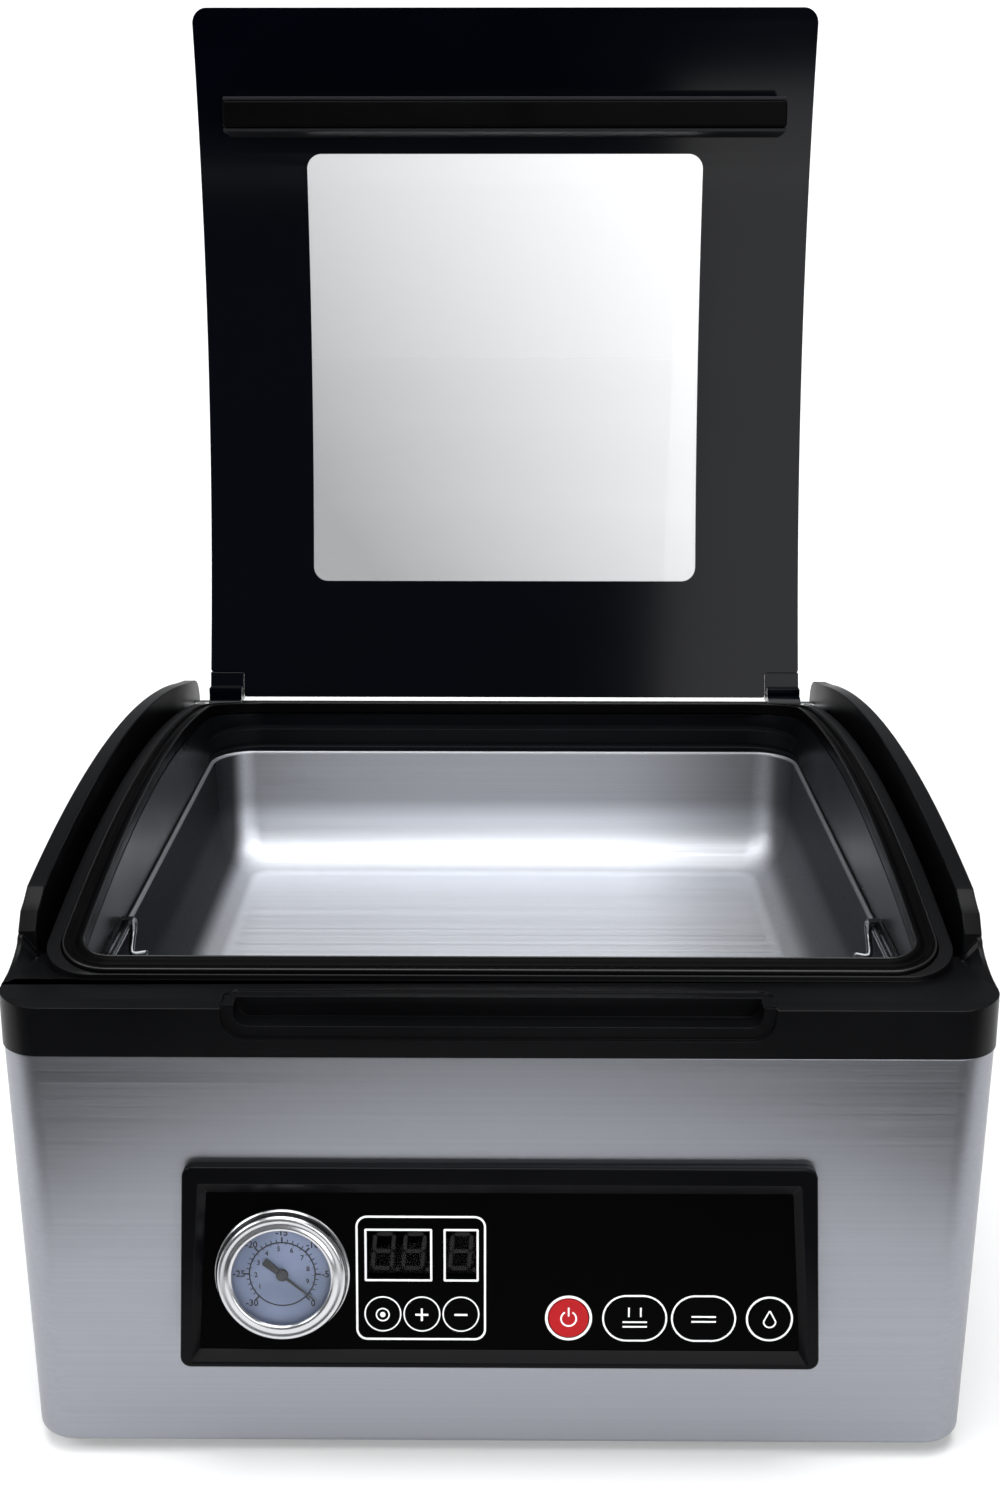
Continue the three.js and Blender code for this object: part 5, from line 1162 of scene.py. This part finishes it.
def text_shape(words, size, x, z, y0):
    """The faces of some figures, centred on a point of the panel, as a flat print."""
    curve = bpy.data.curves.new("figures", "FONT")
    curve.body = words
    curve.size = size
    curve.align_x = "CENTER"
    curve.align_y = "CENTER"
    curve.resolution_u = 3
    curve.offset = 0.02 * size
    curve.extrude = 0.04
    obj = new_object("figures", curve)
    bpy.context.view_layer.update()
    mesh = bpy.data.meshes.new_from_object(obj.evaluated_get(bpy.context.evaluated_depsgraph_get()))
    verts = [(x + v.co.x, y0 - v.co.z, z + v.co.y) for v in mesh.vertices]
    faces = [tuple(p.vertices) for p in mesh.polygons]
    bpy.data.meshes.remove(mesh)
    bpy.data.objects.remove(obj)
    bpy.data.curves.remove(curve)
    return verts, faces


def dial_print():
    y0, y1 = 1.84, 1.9
    first, sweep = 225.0, 270.0
    shapes = [ring_shape(*GAUGE, 12.35, 0.5, 0, 360, 80, y0, y1)]

    def spot(radius, turn):
        return placed([(radius, 0)], turn, *GAUGE)[0]

    for i in range(31):
        turn = first - sweep * i / 30
        length, width = (1.9, 0.6) if i % 5 == 0 else (1.1, 0.36)
        shapes.append(bar_shape(*spot(12.3 + length / 2, turn), length, width, turn, y0, y1))
    for i in range(20):
        turn = first - sweep * i / 19
        shapes.append(bar_shape(*spot(11.6, turn), 0.9, 0.24, turn, y0, y1))
    for i, words in enumerate(("-30", "-25", "-20", "-15", "-10", "-5", "0")):
        shapes.append(text_shape(words, 3.5, *spot(15.9, first - sweep * i / 6), y0))
    for i in range(9):
        shapes.append(text_shape(str(i + 1), 2.6, *spot(9.7, first - sweep * (i + 0.5) / 9.5), y0))
    ink = make("dial_print", merged(*shapes), PANEL)
    piece(ink, black_ink, "body", ())


dial_print()


def gauge_needle():
    lower = [(14.8, -0.15), (0, -0.55), (-2.3, -1.1), (-8.0, -1.4), (-8.5, -1.0)]
    outline = lower + [(a, -b) for a, b in reversed(lower)]
    blade = prism(placed(outline, -39, *GAUGE), "y", 0.6, 1.2)
    hub = [(0, 0.3), (1.7, 0.3), (2.1, 0.42), (2.3, 0.7), (2.3, 1.3), (2.1, 1.5), (0, 1.5)]
    needle = make("pointer", merged(blade, lathe(hub, "y", (GAUGE[0], 0, GAUGE[1]), 40)), PANEL)
    piece(needle, needle_black, "needle", ["gauge_needle"])


gauge_needle()


# CAD nodes that stay, by material
STAYING = [
    (zinc, "base_plate rear_panel lift_rod_left lift_rod_right hinge_pin_left hinge_pin_right"),
    (zinc, "solenoid_valve"),
    (clip_steel, "clip_bracket_left clip_bracket_right"),
    (aluminium, "lift_cylinder_left lift_cylinder_right pump_head"),
    (board_green, "control_board"),
    (cast_grey, "pump_motor"),
    (winding, "transformer"),
    (case_black, "gauge_case pump_impeller fan_frame fan_rotor power_inlet switch_frame"),
    (hose_soft, "chamber_hose pump_hose"),
    (key_red_plastic, "power_switch"),
]
for material, names in STAYING:
    for name in names.split():
        for slot in bpy.data.objects[name].material_slots:
            slot.material = material


def screw(x, z, y):
    """A cross-head screw seen from behind."""
    radius = 2.6
    dome = [(0, y + 0.62), (radius * 0.35, y + 0.6), (radius * 0.8, y + 0.42), (radius * 0.97, y + 0.15),
            (radius, y - 0.1), (0, y - 0.1)]
    head = make("screw", lathe(dome, "y", (x, 0, z), 32))
    half = radius * 0.5
    arm = radius * 0.1
    return cut(head, block(x - half, x + half, y + 0.3, y + 2, z - arm, z + arm),
               block(x - arm, x + arm, y + 0.3, y + 2, z - half, z + half))


def rear_screws():
    low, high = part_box("rear_panel")
    inset = 14.0
    places = [(x, z) for x in (low.x / MM + inset, (low.x + high.x) / 2 / MM, high.x / MM - inset)
              for z in (low.z / MM + inset, high.z / MM - inset)]
    for number, (x, z) in enumerate(places, 1):
        head = screw(x, z, high.y / MM - FRONT)
        head.name = f"rear_screw_{number}"
        piece(head, screw_steel, "body", ())


rear_screws()


# Camera, lights, floor
def camera():
    data = bpy.data.cameras.new("camera")
    data.lens = 43.8
    data.sensor_width = 36.0
    data.shift_y = -0.0475
    data.clip_start = 0.02
    data.clip_end = 30.0
    obj = new_object("camera", data)
    obj.location = to_frame((5.28, -595.55, 469.81))
    obj.rotation_euler = (math.radians(75.0), 0.0, math.radians(0.44))
    bpy.context.scene.camera = obj


camera()


def area(name, at, look, width, height, power):
    data = bpy.data.lights.new(name, "AREA")
    data.shape = "RECTANGLE"
    data.size = width
    data.size_y = height
    data.energy = power
    obj = new_object(name, data)
    obj.location = at
    obj.rotation_euler = (Vector(look) - Vector(at)).to_track_quat("-Z", "Y").to_euler()


area("top", (0.0, -0.1, 2.2), (0, 0, 0.1), 1.8, 1.8, 52)
area("front_top", (0.0, -1.3, 1.8), (0, 0.1, 0.15), 1.2, 0.5, 8)
area("right", (1.0, -2.2, 0.75), (0.6, 0, 0.4), 1.4, 1.8, 26)
area("left", (-1.7, -0.9, 1.4), (0, 0, 0.2), 1.0, 1.0, 18)


def staged(name, shape, material, smooth=True):
    """A stage object, drawn in metres."""
    verts, faces = shape
    mesh = bpy.data.meshes.new(name)
    mesh.from_pydata(verts, [], faces)
    for polygon in mesh.polygons:
        polygon.use_smooth = smooth
    obj = new_object(name, mesh)
    mesh.materials.append(material)
    return obj


def rings(profile):
    """An open surface of revolution through points of (radius, height)."""
    steps = 96
    verts = [(r * math.cos(2 * math.pi * i / steps), r * math.sin(2 * math.pi * i / steps), z)
             for r, z in profile for i in range(steps)]
    faces = [(row * steps + i, row * steps + (i + 1) % steps, (row + 1) * steps + (i + 1) % steps,
              (row + 1) * steps + i) for row in range(len(profile) - 1) for i in range(steps)]
    if profile[0][0] < 0.1:
        faces.append(tuple(reversed(range(steps))))
    return verts, faces


# Metres from the middle to the wall, and the floor's own light by its share of that way
ROOM = 4.5
EVEN = [(0.02, 0.15), (0.11, 0.2), (0.22, 0.4), (0.33, 0.61), (0.44, 0.77), (0.67, 0.92), (0.98, 1.0)]


def floor():
    """A pale disc, whose own faint light makes up for the lamps' fall-off with distance."""
    n = Nodes("pale_floor")
    far = n.add("VectorMath", {0: n.place}, operation="LENGTH").outputs["Value"]
    share = n.ramp(far, 0.0, 1.0, 0.0, ROOM)
    cloud = n.noise(3.0)
    n.surface(gloss=0.0, glow=0.98, rough=n.ramp(cloud, 0.85, 0.95),
              glow_color=n.colours(share, *[(place, (level,) * 3) for place, level in EVEN]),
              color=n.blend(cloud, (0.8, 0.8, 0.8), (0.82, 0.82, 0.82)))
    bands = 12
    staged("floor", rings([(0.05, 0.0)] + [(ROOM * i / bands, 0.0) for i in range(1, bands + 1)]),
           n.material)


def backdrop():
    """A pale wall all round, for the camera alone: reflections see the dimmer studio instead."""
    n = Nodes("pale_wall")
    n.surface(gloss=0.0, color=(0.8, 0.8, 0.8), glow=0.52,
              glow_color=n.blend(n.noise(1.0), (0.97, 0.97, 0.97), (1.0, 1.0, 1.0)))
    wall = staged("backdrop", rings([(ROOM - 0.02, -0.01), (ROOM, 2.0), (ROOM, 5.0)]), n.material)
    wall.visible_glossy = False
    wall.visible_diffuse = False
    wall.visible_shadow = False


floor()
backdrop()


def flag():
    """A black card in front of the machine, out of the picture, that only reflections see."""
    height = 0.012
    near = [(-1.6, -0.35), (-0.26, -0.35), (-0.13, -0.47), (0.0, -0.52), (0.13, -0.47), (0.26, -0.35),
            (1.6, -0.35)]
    outline = [(x, y, height) for x, y in near + [(1.6, -3.6), (-1.6, -3.6)]]
    card = staged("flag", (outline, [tuple(range(len(outline)))]),
                  plastic("flag_cloth", (0.01, 0.01, 0.01), 0.9, gloss=0.0), False)
    card.visible_camera = False
    card.visible_diffuse = False
    card.visible_shadow = False
    card.visible_transmission = False


flag()

world = bpy.data.worlds.new("studio")
bpy.context.scene.world = world
world.use_nodes = True
background = world.node_tree.nodes["Background"]
background.inputs["Color"].default_value = (0.95, 0.97, 1.0, 1.0)
background.inputs["Strength"].default_value = 0.22
bpy.context.scene.view_settings.view_transform = "Standard"
